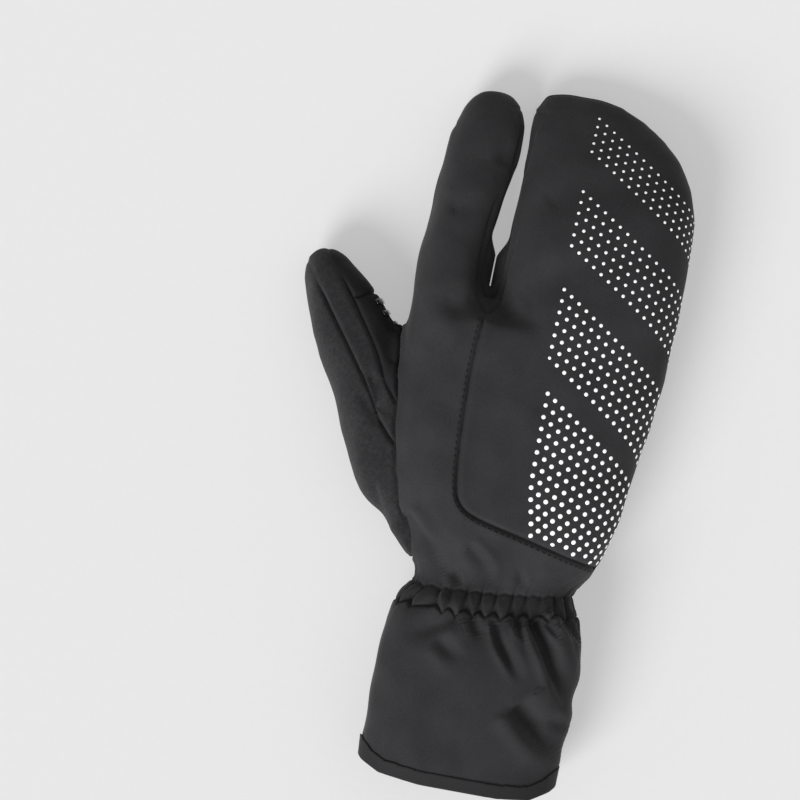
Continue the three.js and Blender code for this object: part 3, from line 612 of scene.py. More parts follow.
def wrist_turn(points):
    """How many gathers lie between a point and the middle of the palm, going round the wrist."""
    aside = (points[:, 0] - WRIST_MIDDLE[0]) / WRIST_WIDTH
    above = (points[:, 2] - WRIST_MIDDLE[1]) / WRIST_HEIGHT
    outward = np.arctan2(above, aside)
    upright = np.arccos(np.clip(aside, -1, 1)) * np.where(above < 0, -1, 1)
    edge = ramp(np.abs(aside), 0.55, 0.95)
    return np.interp(edge * outward + (1 - edge) * upright, turn, around) / around[-1] * GATHERS


def crease(count, width):
    """1 in the middle of a crease at each whole number, falling to 0 at its width."""
    near = np.abs((count + 0.5) % 1 - 0.5)
    return np.clip(1 - near / width, 0, 1) ** 1.2


def gather_relief(points):
    """How far the elastic moves the cloth out, in millimetres."""
    x, up = points[:, 0], points[:, 1] - np.interp(points[:, 0], GATHER_LINE[:, 0], GATHER_LINE[:, 1])
    count = wrist_turn(points)
    count = count + 0.06 * np.sin(count * 2.4) + 0.05 * np.sin(count * 5.3 + 1)
    number = np.round(count)
    # Between two creases the cloth hangs over the lower row in a tongue, so that row runs in a zigzag
    tongue = np.abs(count - number) * 2
    below = np.clip(0.5 - up / 6, 0, 1)
    up = up + below * (2.6 * tongue - 1.5) - (1 - below) * (1.3 * tongue - 0.8)
    over, under = np.maximum(up - CHANNEL, 0), np.maximum(-up - CHANNEL, 0)
    down = np.clip((CHANNEL - up) / (2 * CHANNEL), 0, 1)
    lean = np.where(points[:, 2] > WRIST_MIDDLE[1], 1, -1) / PITCH
    uneven = 0.85 + 0.25 * np.sin(number * 2.1) + 0.15 * np.sin(number * 0.9 + 2)
    hook = lean * (0.2 * over + 0.03 * over**2)
    cleft = crease(count + hook, 0.16 + 0.34 * down**1.5 + 0.02 * over)
    cleft = cleft * (1.7 + 0.5 * down) * np.exp(-over / 3 - under / 0.6)
    right = ramp(x, -14, 18)
    loose = 0.75 + 0.3 * np.sin(np.round(count + 0.5) * 1.7 + 1)
    run = count + 0.5 + lean * (0.75 * right - 0.2) * under
    folds = crease(run, 0.24 + 0.035 * under) * (1 - np.exp(-under / 0.5))
    folds = folds * (1.5 + 0.9 * right) * np.exp(-under / (2.2 + 6 * right)) * loose
    rows = 0.7 * np.exp(-(((up - CHANNEL) / 0.8) ** 2)) + 1.1 * np.exp(-(((up + CHANNEL) / 0.8) ** 2))
    swell = 0.9 * np.exp(-((up / 3.4) ** 2)) + 0.8 * (1 - np.exp(-under / 1.2)) * np.exp(-under / 5)
    return swell - uneven * cleft - folds - rows


# %% Single folds: points of the line, depth, width of the side to its left and of the side to its right
FOLDS = [
    ([(2.4, 73), (6.4, 63.3), (15.2, 52), (20, 46)], 2.8, 2.8, 1.6),
    ([(10.3, 74), (16.9, 66.6), (19, 63)], 1.6, 2.2, 1.3),
    ([(17.6, 76), (24.5, 66.6), (31.2, 56.7), (38.7, 44), (43, 38)], 4.6, 4, 2.4),
    ([(23.7, 76.6), (31.6, 69.3), (34, 66)], 1.8, 2.2, 1.4),
    ([(31.1, 78), (38.8, 72), (42, 66)], 2.4, 2.4, 1.8),
    ([(-12.7, 72.9), (-24.3, 64.6), (-36.4, 55.4)], 1.8, 3.6, 3.2),
    ([(-6.9, 73), (-2.8, 64.3), (-2, 60)], 1.7, 2.8, 2.4),
    ([(-22, 61), (-15, 56), (-8, 50)], 1.8, 3.2, 3.2),
    ([(17.8, 39.1), (27.1, 29.7), (38.6, 20), (44, 14)], 4, 6, 4.5),
    ([(34, 36), (43, 28)], 1.6, 3.2, 3),
    ([(-45.6, 112), (-37.6, 103.9), (-28.7, 96.3), (-22.7, 86)], 2.6, 2.8, 4),
    ([(-16, 103), (-5.9, 95.5), (-1, 85)], 2.3, 2.4, 3.6),
    ([(-19.2, 92), (-13.5, 83)], 1.5, 1.4, 2.4),
    ([(9, 97), (14, 87)], 1, 1.8, 2.6),
    ([(-31, 270), (-28.2, 284)], 1.1, 3.5, 4.5),
    ([(-50, 246), (-33, 256)], 0.9, 4, 4),
    ([(-46, 214), (-32, 198), (-22, 196)], 1, 5, 5),
    ([(-12, 212), (6, 228), (30, 232)], 0.9, 6, 8),
    ([(-8, 256), (10, 268), (34, 262)], 0.8, 6, 8),
]


def fold_relief(points):
    """Depth of all the single folds together, on the back of the glove."""
    relief = np.zeros(len(points))
    on_top = ramp(points[:, 2], side_height(points[:, 1]) - 4, side_height(points[:, 1]) + 4)
    for line, depth, left, right in FOLDS:
        apart, share = beside(points[:, :2], fine_line(line), 3 * max(left, right))
        length = np.linalg.norm(np.subtract(line[-1], line[0]))
        fade = ramp(share * length, 0, 4) * (1 - ramp(share, 0.4, 1))
        width = np.where(apart > 0, left, right)
        ridge = 0.45 * np.exp(-(((np.abs(apart) - 1.9 * width) / width) ** 2))
        relief += depth * fade * (ridge - np.exp(-((apart / width) ** 2)))
    return relief * on_top


# Length in millimetres, height, direction and phase of each wave
WAVES = ((61, 0.35, 0.5, 0), (37, 0.25, -0.9, 2), (23, 0.16, 1.3, 4), (15, 0.08, 0.1, 1))


def waves(points):
    """Slow unevenness of padded cloth, from a few fixed sines."""
    total = np.zeros(len(points))
    for length, amount, tilt, phase in WAVES:
        run = points[:, 0] * math.cos(tilt) + points[:, 1] * math.sin(tilt) + 0.8 * points[:, 2]
        total += amount * np.sin(2 * np.pi * run / length + phase + 0.6 * np.sin(points[:, 1] / 19 + phase))
    return total


# %% [markdown]
# ## Seams in the skin
# A seam shows as a furrow, about a millimetre deep and twice as wide, with the cloth swelling beside it. The rim
# of the slot between the fingers is rolled: a furrow runs round it two millimetres out. Folds bunch up where the
# thumb leaves the hand.

# %% Move the skin
SEAM_DEPTH, SEAM_WIDTH = 1.1, 1.15
UNDERSIDE = 1  # the padding sinks no lower than this onto the printed bars, where it doesn't rest already
THUMB_FOLDS = [
    ([(-75, 171), (-69.5, 166.5), (-64.8, 157), (-60, 152.5)], 2, 2.4, 1.8),
    ([(-66.5, 170), (-64, 161), (-65.5, 150)], 1.4, 2, 1.8),
    ([(-74, 162), (-66, 151), (-60, 146)], 1.6, 2, 2.4),
    ([(-62, 124), (-56, 110), (-50, 100)], 1.4, 2.4, 2),
]

points = to_glove(points_of(skin))
normals = normals_of(skin)
fields = seam_fields(points)
seams = near_seams(points, fields, SEAM_WIDTH)
swell = near_seams(points, fields, 3.2 * SEAM_WIDTH)
relief = 0.35 * swell - (SEAM_DEPTH + 0.35) * seams - 0.7 * near_seams(points, fields, 0.5)
rim_gap, rim_share = beside(points[:, :2], SLOT_RIM, 6)
rim_top = ramp(points[:, 2], side_height(points[:, 1]) + 3, side_height(points[:, 1]) + 8)
rim_fade = ramp(rim_share, 0, 0.12) * (1 - ramp(rim_share, 0.88, 1))
relief -= 1.3 * np.exp(-((rim_gap / 0.7) ** 2)) * rim_top * rim_fade
relief += gather_relief(points) + fold_relief(points)
for line, depth, left, right in THUMB_FOLDS:
    apart, share = beside(points[:, :2], fine_line(line), 8)
    fade = ramp(share, 0, 0.2) * (1 - ramp(share, 0.7, 1)) * (points[:, 2] > 12)
    relief -= depth * fade * np.exp(-((apart / np.where(apart > 0, left, right)) ** 2))
relief += waves(points) * (1 - 0.7 * seams)
resting = 1 - ramp(points[:, 2], 0.5, 4)
relief *= (1 - 0.8 * resting) * ramp(above_hem(points), 3, 12)
shaped = points + normals * relief[:, None]
# Down inside the slot the two fingers' walls bulge until they all but touch, as far up as the photograph shows
aside = shaped[:, 0] - np.interp(points[:, 1], SLOT_LINE[:, 1], SLOT_LINE[:, 0])
facing = ramp(-normals[:, 0] * np.sign(aside), 0.15, 0.6) * (np.abs(aside) < 9) * ramp(points[:, 1], 200, 206)
depth = points[:, 2] - side_height(points[:, 1])
deep = (1 - ramp(depth, -1, 9)) * ramp(points[:, 2], 2, 8) * (1 - ramp(points[:, 1], 229, 242))
kept = 1 - facing * deep
shaped[:, 0] -= aside * (1 - np.maximum(kept, np.minimum(0.35 / np.maximum(np.abs(aside), 0.35), 1)))
shaped[:, 2] = np.maximum(shaped[:, 2], np.clip(points[:, 2], 0.02, UNDERSIDE))
move_points(skin, to_frame(shaped))
fields["hem"] = above_hem(points) - HEM_CUT
for name, values in fields.items():
    skin.data.attributes.new(name, "FLOAT", "POINT").data.foreach_set("value", values.astype(np.float32))
skin_tree = tree_of(skin)
print("relief from", round(float(relief.min()), 2), "to", round(float(relief.max()), 2), "mm")

# %% [markdown]
# ## Cutting the skin into panels
# Each panel of the CAD part gets its own piece. The skin is cut exactly where a seam's field is 0: every edge
# that crosses the seam gets a point there, and the faces are split between those points.


# %% Cut along a seam
def cut_off(piece, seam, name, turned=1):
    """Cuts a piece where a seam's field is 0, and returns the part where it is above 0 as a piece."""
    form = bmesh.new()
    form.from_mesh(piece.data)
    field = form.verts.layers.float[seam]
    for vert in form.verts:
        vert[field] = turned * vert[field] if abs(vert[field]) > 1e-5 else 1e-5
    cut = set()
    for edge in [e for e in form.edges if (e.verts[0][field] > 0) != (e.verts[1][field] > 0)]:
        start, end = edge.verts
        share = start[field] / (start[field] - end[field])
        made = bmesh.utils.edge_split(edge, start, min(max(share, 0.02), 0.98))[1]
        made[field] = 0
        cut.add(made)
    for face in {face for vert in cut for face in vert.link_faces}:
        ends = [vert for vert in face.verts if vert in cut]
        if len(ends) == 2 and not any(edge.other_vert(ends[0]) is ends[1] for edge in ends[0].link_edges):
            bmesh.utils.face_split(face, ends[0], ends[1])
    form.faces.index_update()
    chosen = {face.index for face in form.faces if sum(vert[field] for vert in face.verts) > 0}
    part = bpy.data.objects.new(name, bpy.data.meshes.new(name))
    bpy.context.scene.collection.objects.link(part)
    for target, keep in ((part, True), (piece, False)):
        half = form.copy()
        bmesh.ops.delete(half, geom=[face for face in half.faces if (face.index in chosen) != keep], context="FACES")
        half.to_mesh(target.data)
        half.free()
    form.free()
    return part


# %% Panels
bpy.data.objects.remove(cut_off(skin, "hem", "spare", -1))
thumb = cut_off(skin, "thumb", "thumb")
slot_cloth = cut_off(skin, "slot", "slot_cloth")
back = cut_off(skin, "side", "back")
dotted_back = cut_off(back, "back", "dotted_back")
palm = cut_off(skin, "palm", "palm")
index_tip = cut_off(palm, "index_tip", "index_tip")
gusset = cut_off(skin, "gusset", "gusset")
thumb_grip = cut_off(thumb, "thumb_grip", "thumb_grip")
thumb_tip = cut_off(thumb_grip, "thumb_tip", "thumb_tip")
thumb_strip = cut_off(thumb, "thumb_back", "thumb_strip")
PANELS = {
    "softshell_back": (back, "back_shell", "softshell"),
    "softshell_dotted": (dotted_back, "mitten_back", "softshell"),
    "palm_cloth": (palm, "palm_panel", "palm_cloth"),
    "index_tip_cloth": (index_tip, "index_touch_tip", "touch_cloth"),
    "finger_slot_cloth": (slot_cloth, "fourchette", "softshell"),
    "thumb_back_terry": (thumb, "thumb_back", "brushed_cloth"),
    "thumb_strip_terry": (thumb_strip, "thumb_side", "brushed_cloth"),
    "thumb_palm_cloth": (thumb_grip, "thumb_palm", "palm_cloth"),
    "thumb_tip_cloth": (thumb_tip, "thumb_touch_tip", "touch_cloth"),
    "cuff_palm_softshell": (skin, "cuff_palm", "softshell"),
    "cuff_gusset_cloth": (gusset, "cuff_gusset", "trim"),
}
CLOTH_THICKNESS = 1.0


def thicken(piece, thickness):
    """Gives a sheet a thickness in millimetres, on its inner side."""
    only(piece)
    wall = piece.modifiers.new("wall", "SOLIDIFY")
    wall.thickness = thickness / 1000
    wall.offset = -1
    bpy.ops.object.modifier_apply(modifier="wall")


def dress(piece, name, nodes=()):
    """Names a finished piece, smooths its shading, hangs it on the glove's body and hides the CAD nodes that it
    replaces.
    """
    only(piece)
    piece.name = piece.data.name = name
    bpy.ops.object.shade_smooth_by_angle(angle=math.radians(55))
    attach(piece, "root")
    if nodes:
        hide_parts(*nodes)
    piece.data.calc_loop_triangles()
    print(name, len(piece.data.loop_triangles), "triangles")


for name, (piece, node, slot) in PANELS.items():
    for seam in fields:
        piece.data.attributes.remove(piece.data.attributes[seam])
    thicken(piece, CLOTH_THICKNESS)
    dress(piece, name, [node])
for piece in (thumb_copy, hand_copy):
    bpy.data.objects.remove(piece)

# %% [markdown]
# ## Pieces sewn and printed onto the shell
# The binding, the strap with its loop patch, the thumb's patch and the silicone bars keep the CAD solids' plan.
# Each is remeshed finely, so that its corners round off as folded cloth or poured silicone does. Each piece that
# lies on the skin moves as far as the skin under it has moved, and the binding is drawn towards the CAD wall.


# %% Sewn and printed pieces
def settle(piece):
    """Moves a piece that lies on the skin as far as the skin under it has moved."""
    points = points_of(piece)
    shift = np.zeros_like(points)
    for number, point in enumerate(points):
        base = cad_tree.find_nearest(Vector(point))[0]
        shift[number] = skin_tree.find_nearest(base)[0] - base
    points += averaged(shift, edges_of(piece), 25)
    points[:, 2] = np.maximum(points[:, 2], 0)
    move_points(piece, points)


BINDING_PRESSED = 0.6  # share of its height over the shell that the stitched binding loses
# Each piece: its CAD nodes, slot, voxel in millimetres, rounds of smoothing, whether it lies on the skin, fill
ON_SKIN = {
    "cuff_binding_tape": (["cuff_binding"], "trim", 0.75, 14, False, 0.9),
    "loop_patch_tape": (["loop_patch"], "loop_pile", 0.5, 3, True, 0.9),
    "closing_strap_tab": (["closing_strap"], "softshell", 0.5, 4, True, 0.9),
    "thumb_patch_cloth": (["thenar_patch"], "palm_cloth", 0.5, 3, True, 0.9),
}
for name, node, count in (
    ("palm_grip_bars", "palm_bar", 10),
    ("index_grip_bars", "index_bar", 4),
    ("mitten_grip_bars", "mitten_bar", 4),
    ("thumb_grip_bars", "thumb_bar", 4),
    ("thumb_patch_bars", "thenar_bar", 6),
):
    ON_SKIN[name] = ([f"{node}_{number}" for number in range(1, count + 1)], "silicone", 0.42, 10, True, None)
for name, (nodes, slot, voxel, rounds, lies, fill) in ON_SKIN.items():
    piece = remesh(cad_copy(name, nodes), voxel)
    edges = edges_of(piece)
    move_points(piece, smoothed(averaged(points_of(piece), edges, 2), edges, rounds))
    if lies:
        settle(piece)
    else:
        points = points_of(piece)
        walls = np.array([cad_tree.find_nearest(Vector(point))[0] for point in points])
        points += BINDING_PRESSED * averaged(walls - points, edges_of(piece), 3)
        move_points(piece, points)
    dress(piece, name, nodes)

# %% [markdown]
# ## Lining
# Through the cuff's mouth a fleece lining shows. It is the inner half of the remeshed body, moved in where the
# gathers and folds press the wall inwards, and given a thickness.

# %% Lining
LINING_GAP = 0.7
rounded = smoothed(to_glove(points_of(lining)), edges_of(lining), 10)
pressed = np.maximum(-(gather_relief(rounded) + fold_relief(rounded)), 0)
move_points(lining, to_frame(rounded))
inward = normals_of(lining) * (LINING_GAP + 0.9 * pressed * ramp(above_hem(rounded), 3, 12))[:, None]
move_points(lining, to_frame(rounded + inward))
thicken(lining, 0.5)
thin = lining.modifiers.new("thin", "DECIMATE")
thin.ratio = 0.3
bpy.ops.object.modifier_apply(modifier="thin")
dress(lining, "fleece_lining", ())

# %% [markdown]
# ## Thread
# A topstitch is a row of short bars of thread that dive into the cloth at both ends. One stitch is shaped from
# a sphere, and copies of it are laid along each row with arrays, on the skin and along its slope.

# %% Stitches
bpy.ops.object.select_all(action="DESELECT")
bpy.ops.mesh.primitive_uv_sphere_add(segments=8, ring_count=6, radius=1)
seed = bpy.context.object
seed_points = points_of(seed)[:, [2, 0, 1]]
seed_points[:, 2] -= 0.55 * np.abs(seed_points[:, 0]) ** 3
seed_sides = [list(face.vertices) for face in seed.data.polygons]
bpy.data.objects.remove(seed)


def on_skin(places, under=False, tree=skin_tree):
    """The points of the skin above or under some places in the plan, and the skin's normals there."""
    made = []
    for x, y in places:
        start = to_frame([x, y, -20 if under else 90])
        hit, normal = tree.ray_cast(Vector(start), Vector((0, 0, 1 if under else -1)))[:2]
        if hit:
            made.append((*to_glove(hit), *normal))
    return np.array(made)


def stitches(row, pitch, length, width, turned=0.0, lift=0.12):
    """Stitches along a row of skin points with their normals."""
    step = np.linalg.norm(np.diff(row[:, :3], axis=0), axis=1)
    run = np.concatenate([[0], np.cumsum(step)])
    at = np.arange(pitch / 2, run[-1], pitch)
    centre, ahead, behind = (
        np.column_stack([np.interp(at + shift, run, column) for column in row.T]) for shift in (0, 0.4, -0.4)
    )
    along = (ahead - behind)[:, :3]
    up = centre[:, 3:] / np.linalg.norm(centre[:, 3:], axis=1)[:, None]
    along -= (along * up).sum(1)[:, None] * up
    along /= np.maximum(np.linalg.norm(along, axis=1), 1e-9)[:, None]
    beside_it = np.cross(up, along)
    swing = turned * np.where(np.arange(len(at)) % 2, -1, 1)
    along, beside_it = (
        along * np.cos(swing)[:, None] + beside_it * np.sin(swing)[:, None],
        beside_it * np.cos(swing)[:, None] - along * np.sin(swing)[:, None],
    )
    local = seed_points * [length / 2, width / 2, width / 2]
    return (
        centre[:, None, :3]
        + local[None, :, :1] * along[:, None]
        + local[None, :, 1:2] * beside_it[:, None]
        + (local[None, :, 2:] + lift) * up[:, None]
    ).reshape(-1, 3)


def beside_line(line, aside, start=0.0, end=1.0):
    """A line moved aside to its left, and cut to a share of its run."""
    run = np.gradient(line, axis=0)
    run /= np.linalg.norm(run, axis=1)[:, None]
    moved = line + aside * np.column_stack([-run[:, 1], run[:, 0]])
    count = len(line) - 1
    return moved[int(start * count) : int(end * count) + 1]


def hem_line(above):
    x = np.linspace(-40, 38, 80)
    return np.column_stack([x, np.interp(x, HEM[:, 0] * HAND_WIDTH, HEM[:, 1] * GLOVE_LENGTH) + above])


def inside_edge(corners, inset, radius):
    """A closed line a little inside some corners, and round where it turns."""
    corners = np.array(corners, float)
    made = []
    for before, corner, after in zip(np.roll(corners, 1, 0), corners, np.roll(corners, -1, 0)):
        back = (before - corner) / np.linalg.norm(before - corner)
        ahead = (after - corner) / np.linalg.norm(after - corner)
        turned = abs(back[0] * ahead[1] - back[1] * ahead[0])
        place = corner + (back + ahead) * inset / turned
        made += [place + radius * back, place + radius * (back + ahead) / 4, place + radius * ahead]
    return fine_line([*made, made[0]])


# %% Rows of thread
TOPSTITCH = (2.9, 2.3, 0.62)  # pitch, length and width of one stitch
BAR_TACK = (1.1, 3.4, 0.5)
rows = []
back_row = beside_line(BACK_SEAM, -1.9)
back_row = back_row[(back_row[:, 1] < 202) & (back_row[:, 0] < 47)]
rows.append(stitches(on_skin(back_row), *TOPSTITCH))
for aside in (2.2, -2.2):
    row = beside_line(PALM_SEAM, aside)
    rows.append(stitches(on_skin(row[np.abs(row[:, 0]) < 46], True), *TOPSTITCH))
rows.append(stitches(on_skin(hem_line(8.2), True), *TOPSTITCH))
index_row = np.column_stack([np.linspace(-52, -25, 40), np.full(40, INDEX_TIP - 0.4)])
thumb_row = from_thumb(np.column_stack([np.linspace(-13, 13, 30), np.full(30, THUMB_TIP)]))
for row in (index_row, thumb_row):
    rows.append(stitches(on_skin(row, True), *BAR_TACK, turned=1.2))
SEWN_ON = {
    "closing_strap_tab": (((-31.9, 6.2), (39.5, 6.2), (39.5, 32.7), (-31.9, 32.7)), (2.4,), 8),
    "loop_patch_tape": (((-40.1, 5.6), (23.6, 5.6), (23.6, 33.6), (-40.1, 33.6)), (1.8,), 3),
    "thumb_patch_cloth": (((-6.4, 161.8), (-26.6, 106), (19.5, 108.5)), (2, 4.4), 7),
}
for name, (corners, insets, radius) in SEWN_ON.items():
    for inset in insets:
        row = inside_edge(corners, inset, radius)
        rows.append(stitches(on_skin(row, True, tree_of(bpy.data.objects[name])), *TOPSTITCH))
made = np.vstack(rows)
count = len(made) // len(seed_points)
sides = [[vert + number * len(seed_points) for vert in side] for number in range(count) for side in seed_sides]
thread = new_piece("seam_thread", made, sides)
dress(thread, "seam_thread")
print(count, "stitches")

# %% [markdown]
# ## Reflective dots
# Four slanted bands of dots are printed on the mitten's back and run on round its outer edge. Their distances
# are measured along the cloth, so the rows close up towards the edge when they are seen from above.

# %% Dots
DOT_BANDS = ((299.4, 283.8, 5, 9.2), (265.3, 240.5, 6, 7.4), (220.9, 190, 7, 6.6), (174.6, 111.8, 13, 7.6))
COLUMN_PITCH, COLUMN_DROP = 3.75, 2.55
DOT_SIDES = 12
DOT_RADIUS = 1.1, 0.6  # at the lowest dots and at the highest
DOT_LOW, DOT_HIGH = 112, 302
BARE_BELOW, BARE_AT_SEAM, BARE_AT_SIDE = 98, 2, 1.5  # no dot lies nearer to the wrist or to a seam
sections = np.arange(96, 304, 2.0)
sweep = np.radians(np.linspace(90, -25, 70))
surface = np.full((len(sections), len(sweep), 6), np.nan)
for row, y in enumerate(sections):
    start = Vector(to_frame([7.5, y, side_height(y)]))
    for column, angle in enumerate(sweep):
        hit, normal = skin_tree.ray_cast(start, Vector((math.cos(angle), 0, math.sin(angle))))[:2]
        if hit:
            surface[row, column] = (*to_glove(hit), *normal)


def dot_place(x_left, aside, y):
    """The point and normal on the skin at a distance along the cloth from a place on its top."""
    row = min(max((y - sections[0]) / 2, 0), len(sections) - 1.001)
    low, share = int(row), row - int(row)
    line = surface[low] * (1 - share) + surface[low + 1] * share
    line = line[~np.isnan(line).any(1)]
    run = np.concatenate([[0], np.cumsum(np.linalg.norm(np.diff(line[:, [0, 2]], axis=0), axis=1))])
    target = aside + (x_left - 7.5)
    if target > run[-1]:
        return None
    if target < 0:
        line[0, 0] += target
    return [np.interp(target, run, line[:, axis]) for axis in range(6)]


dots = []
for top, bottom, count, x_left in DOT_BANDS:
    for number, start in enumerate(np.linspace(top, bottom, count)):
        left = x_left + 4.3 * ramp(number, 7, 13) if count == 13 else x_left - 1.2 * number / count
        for column in range(24):
            y = start - COLUMN_DROP * column
            place = dot_place(left, COLUMN_PITCH * column, y) if y > BARE_BELOW else None
            if place is None or place[2] < side_height(y) + BARE_AT_SIDE:
                break
            if beside(np.array([place[:2]]), BACK_SEAM)[0][0] > BARE_AT_SEAM:
                share = (start - DOT_LOW) / (DOT_HIGH - DOT_LOW)
                dots.append((*place, DOT_RADIUS[0] + share * (DOT_RADIUS[1] - DOT_RADIUS[0])))
dots = np.array(dots)
centre, up, radius = dots[:, :3], dots[:, 3:6], dots[:, 6:]
up /= np.linalg.norm(up, axis=1)[:, None]
across = np.cross(up, [0, 1, 0])
across /= np.linalg.norm(across, axis=1)[:, None]
upwards = np.cross(up, across)
angle = np.arange(DOT_SIDES) * 2 * np.pi / DOT_SIDES
rings = []
for share, height in ((0.8, -0.25), (1, 0.03), (0.86, 0.14), (0.45, 0.19)):
    ring = np.cos(angle)[None, :, None] * across[:, None] + np.sin(angle)[None, :, None] * upwards[:, None]
    rings.append(centre[:, None] + share * radius[:, None] * ring + height * up[:, None])
caps = [(centre - 0.25 * up)[:, None], (centre + 0.2 * up)[:, None]]
made = np.concatenate([caps[0], *rings, caps[1]], axis=1)
size = made.shape[1]
one = []
for side in range(DOT_SIDES):
    after = (side + 1) % DOT_SIDES
    one.append([0, 1 + side, 1 + after])
    for ring in range(3):
        low, high = 1 + ring * DOT_SIDES, 1 + (ring + 1) * DOT_SIDES
        one.append([low + after, low + side, high + side, high + after])
    one.append([size - 1, 1 + 3 * DOT_SIDES + after, 1 + 3 * DOT_SIDES + side])
sides = [[vert + number * size for vert in side] for number in range(len(dots)) for side in one]
printed = new_piece("reflective_dots", made.reshape(-1, 3), sides)
only(printed)
bpy.ops.object.mode_set(mode="EDIT")
bpy.ops.mesh.select_all(action="SELECT")
bpy.ops.mesh.normals_make_consistent(inside=False)
bpy.ops.object.mode_set(mode="OBJECT")
dress(printed, "reflective_dots")
print(len(dots), "dots")

# %% [markdown]
# ## Materials
# A glove's cloths differ in how they were made: softshell is woven and napped, terry is brushed into loose fibres,
# binding is ribbed, silicone is poured. Pictures of cloth would need a flat layout of every panel, so each finish
# is made of three-dimensional patterns instead. They are laid out in the object's own metres, so their scale is
# that of the real cloth: a Noise Texture with scale s has grains about 1/s metres wide. One sum of patterns tints
# the cloth between two greys, and another raises its relief.

# %% Material helpers
NOISE, WAVE, CELLS = "ShaderNodeTexNoise", "ShaderNodeTexWave", "ShaderNodeTexVoronoi"


def grey(text):
    """A linear colour from an sRGB hex value."""
    parts = [int(text[i : i + 2], 16) / 255 for i in (0, 2, 4)]
    return (*[(v / 12.92 if v <= 0.04045 else ((v + 0.055) / 1.055) ** 2.4) for v in parts], 1)


def add_node(material, kind, inputs, **settings):
    """Adds a node with its settings. Each of its inputs takes a value or another node's output."""
    node = material.node_tree.nodes.new(kind)
    for name, value in settings.items():
        setattr(node, name, value)
    for name, value in inputs.items():
        if isinstance(value, bpy.types.NodeSocket):
            material.node_tree.links.new(value, node.inputs[name])
        else:
            node.inputs[name].default_value = value
    return node


def added_up(material, patterns, parts):
    """Some patterns added up, each times its share."""
    total = 0
    for name, share in parts.items():
        sums = add_node(
            material, "ShaderNodeMath", {0: patterns[name], 1: share, 2: total}, operation="MULTIPLY_ADD"
        )
        total = sums.outputs[0]
    return total


def finish(name, pieces, patterns, tint=None, relief=None, **surface):
    """A new material on some pieces, with a tint, a relief and the shader's own values."""
    material = bpy.data.materials.new(name)
    material.use_nodes = True
    for piece in pieces:
        bpy.data.objects[piece].data.materials.clear()
        bpy.data.objects[piece].data.materials.append(material)
    shader, link = material.node_tree.nodes["Principled BSDF"], material.node_tree.links.new
    place = add_node(material, "ShaderNodeTexCoord", {}).outputs["Object"]
    made = {}
    for pattern, (kind, inputs, settings) in patterns.items():
        node = add_node(material, kind, {"Vector": place, **inputs}, **settings)
        made[pattern] = node.outputs["Distance" if kind == CELLS else "Fac"]
    if tint:
        parts, *stops = tint
        colours = add_node(material, "ShaderNodeValToRGB", {"Fac": added_up(material, made, parts)})
        for element, (position, colour) in zip(colours.color_ramp.elements, stops):
            element.position, element.color = position, grey(colour)
        link(colours.outputs["Color"], shader.inputs["Base Color"])
    if relief:
        parts, strength, metres = relief
        inputs = {"Height": added_up(material, made, parts), "Strength": strength, "Distance": metres}
        link(add_node(material, "ShaderNodeBump", inputs).outputs["Normal"], shader.inputs["Normal"])
    for socket, value in surface.items():
        shader.inputs[socket.replace("_", " ")].default_value = value
    print("finish", name, "on", len(pieces), "pieces")
    return material, shader, made


# %% Softshell: a matte black face with a fine nap, a little paler where it catches the light
finish(
    "softshell",
    ["softshell_back", "softshell_dotted", "cuff_palm_softshell", "finger_slot_cloth", "closing_strap_tab"],
    {
        "nap": (NOISE, {"Scale": 1300, "Detail": 4, "Roughness": 0.7}, {}),
        "clouds": (NOISE, {"Scale": 55, "Detail": 3}, {}),
        "twill": (WAVE, {"Scale": 330, "Distortion": 1.5, "Detail": 2, "Detail Scale": 3}, {}),
    },
    ({"nap": 0.55, "clouds": 0.45}, (0.3, "252527"), (0.72, "38383a")),
    ({"twill": 0.3, "nap": 1}, 0.35, 0.00025),
    Roughness=0.82, Specular_IOR_Level=0.25, Sheen_Weight=0.06, Sheen_Roughness=0.5,
)

# %% Brushed terry on the thumb: short tangled fibres, mottled a millimetre wide
finish(
    "brushed_terry",
    ["thumb_back_terry", "thumb_strip_terry"],
    {
        "fibres": (NOISE, {"Scale": 1500, "Detail": 6, "Roughness": 0.8, "Distortion": 1.5}, {}),
        "tufts": (NOISE, {"Scale": 600, "Detail": 3, "Distortion": 0.8}, {}),
    },
    ({"fibres": 0.55, "tufts": 0.45}, (0.32, "18181a"), (0.7, "363638")),
    ({"fibres": 0.55, "tufts": 0.45}, 0.8, 0.0006),
    Roughness=0.95, Specular_IOR_Level=0.15, Sheen_Weight=0.12, Sheen_Roughness=0.6,
)

# %% Palm cloth: a suede-like face, darker than the back and without shine
finish(
    "palm_cloth",
    ["palm_cloth", "thumb_palm_cloth", "thumb_patch_cloth"],
    {
        "grain": (NOISE, {"Scale": 1500, "Detail": 5, "Roughness": 0.7}, {}),
        "pores": (CELLS, {"Scale": 700}, {}),
    },
    ({"grain": 1}, (0.3, "1c1c1e"), (0.75, "2a2a2c")),
    ({"pores": 0.35, "grain": 1}, 0.4, 0.0003),
    Roughness=0.88, Specular_IOR_Level=0.2,
)

# %% Touch cloth on the two fingertips: a dense knit, smoother and blacker
finish(
    "touch_cloth",
    ["index_tip_cloth", "thumb_tip_cloth"],
    {
        "knit": (WAVE, {"Scale": 420, "Distortion": 0.6}, {"bands_direction": "Y"}),
        "grain": (NOISE, {"Scale": 1800, "Detail": 3}, {}),
    },
    ({"grain": 1}, (0, "161618"), (1, "29292b")),
    ({"knit": 1}, 0.3, 0.0002),
    Roughness=0.7, Specular_IOR_Level=0.2,
)

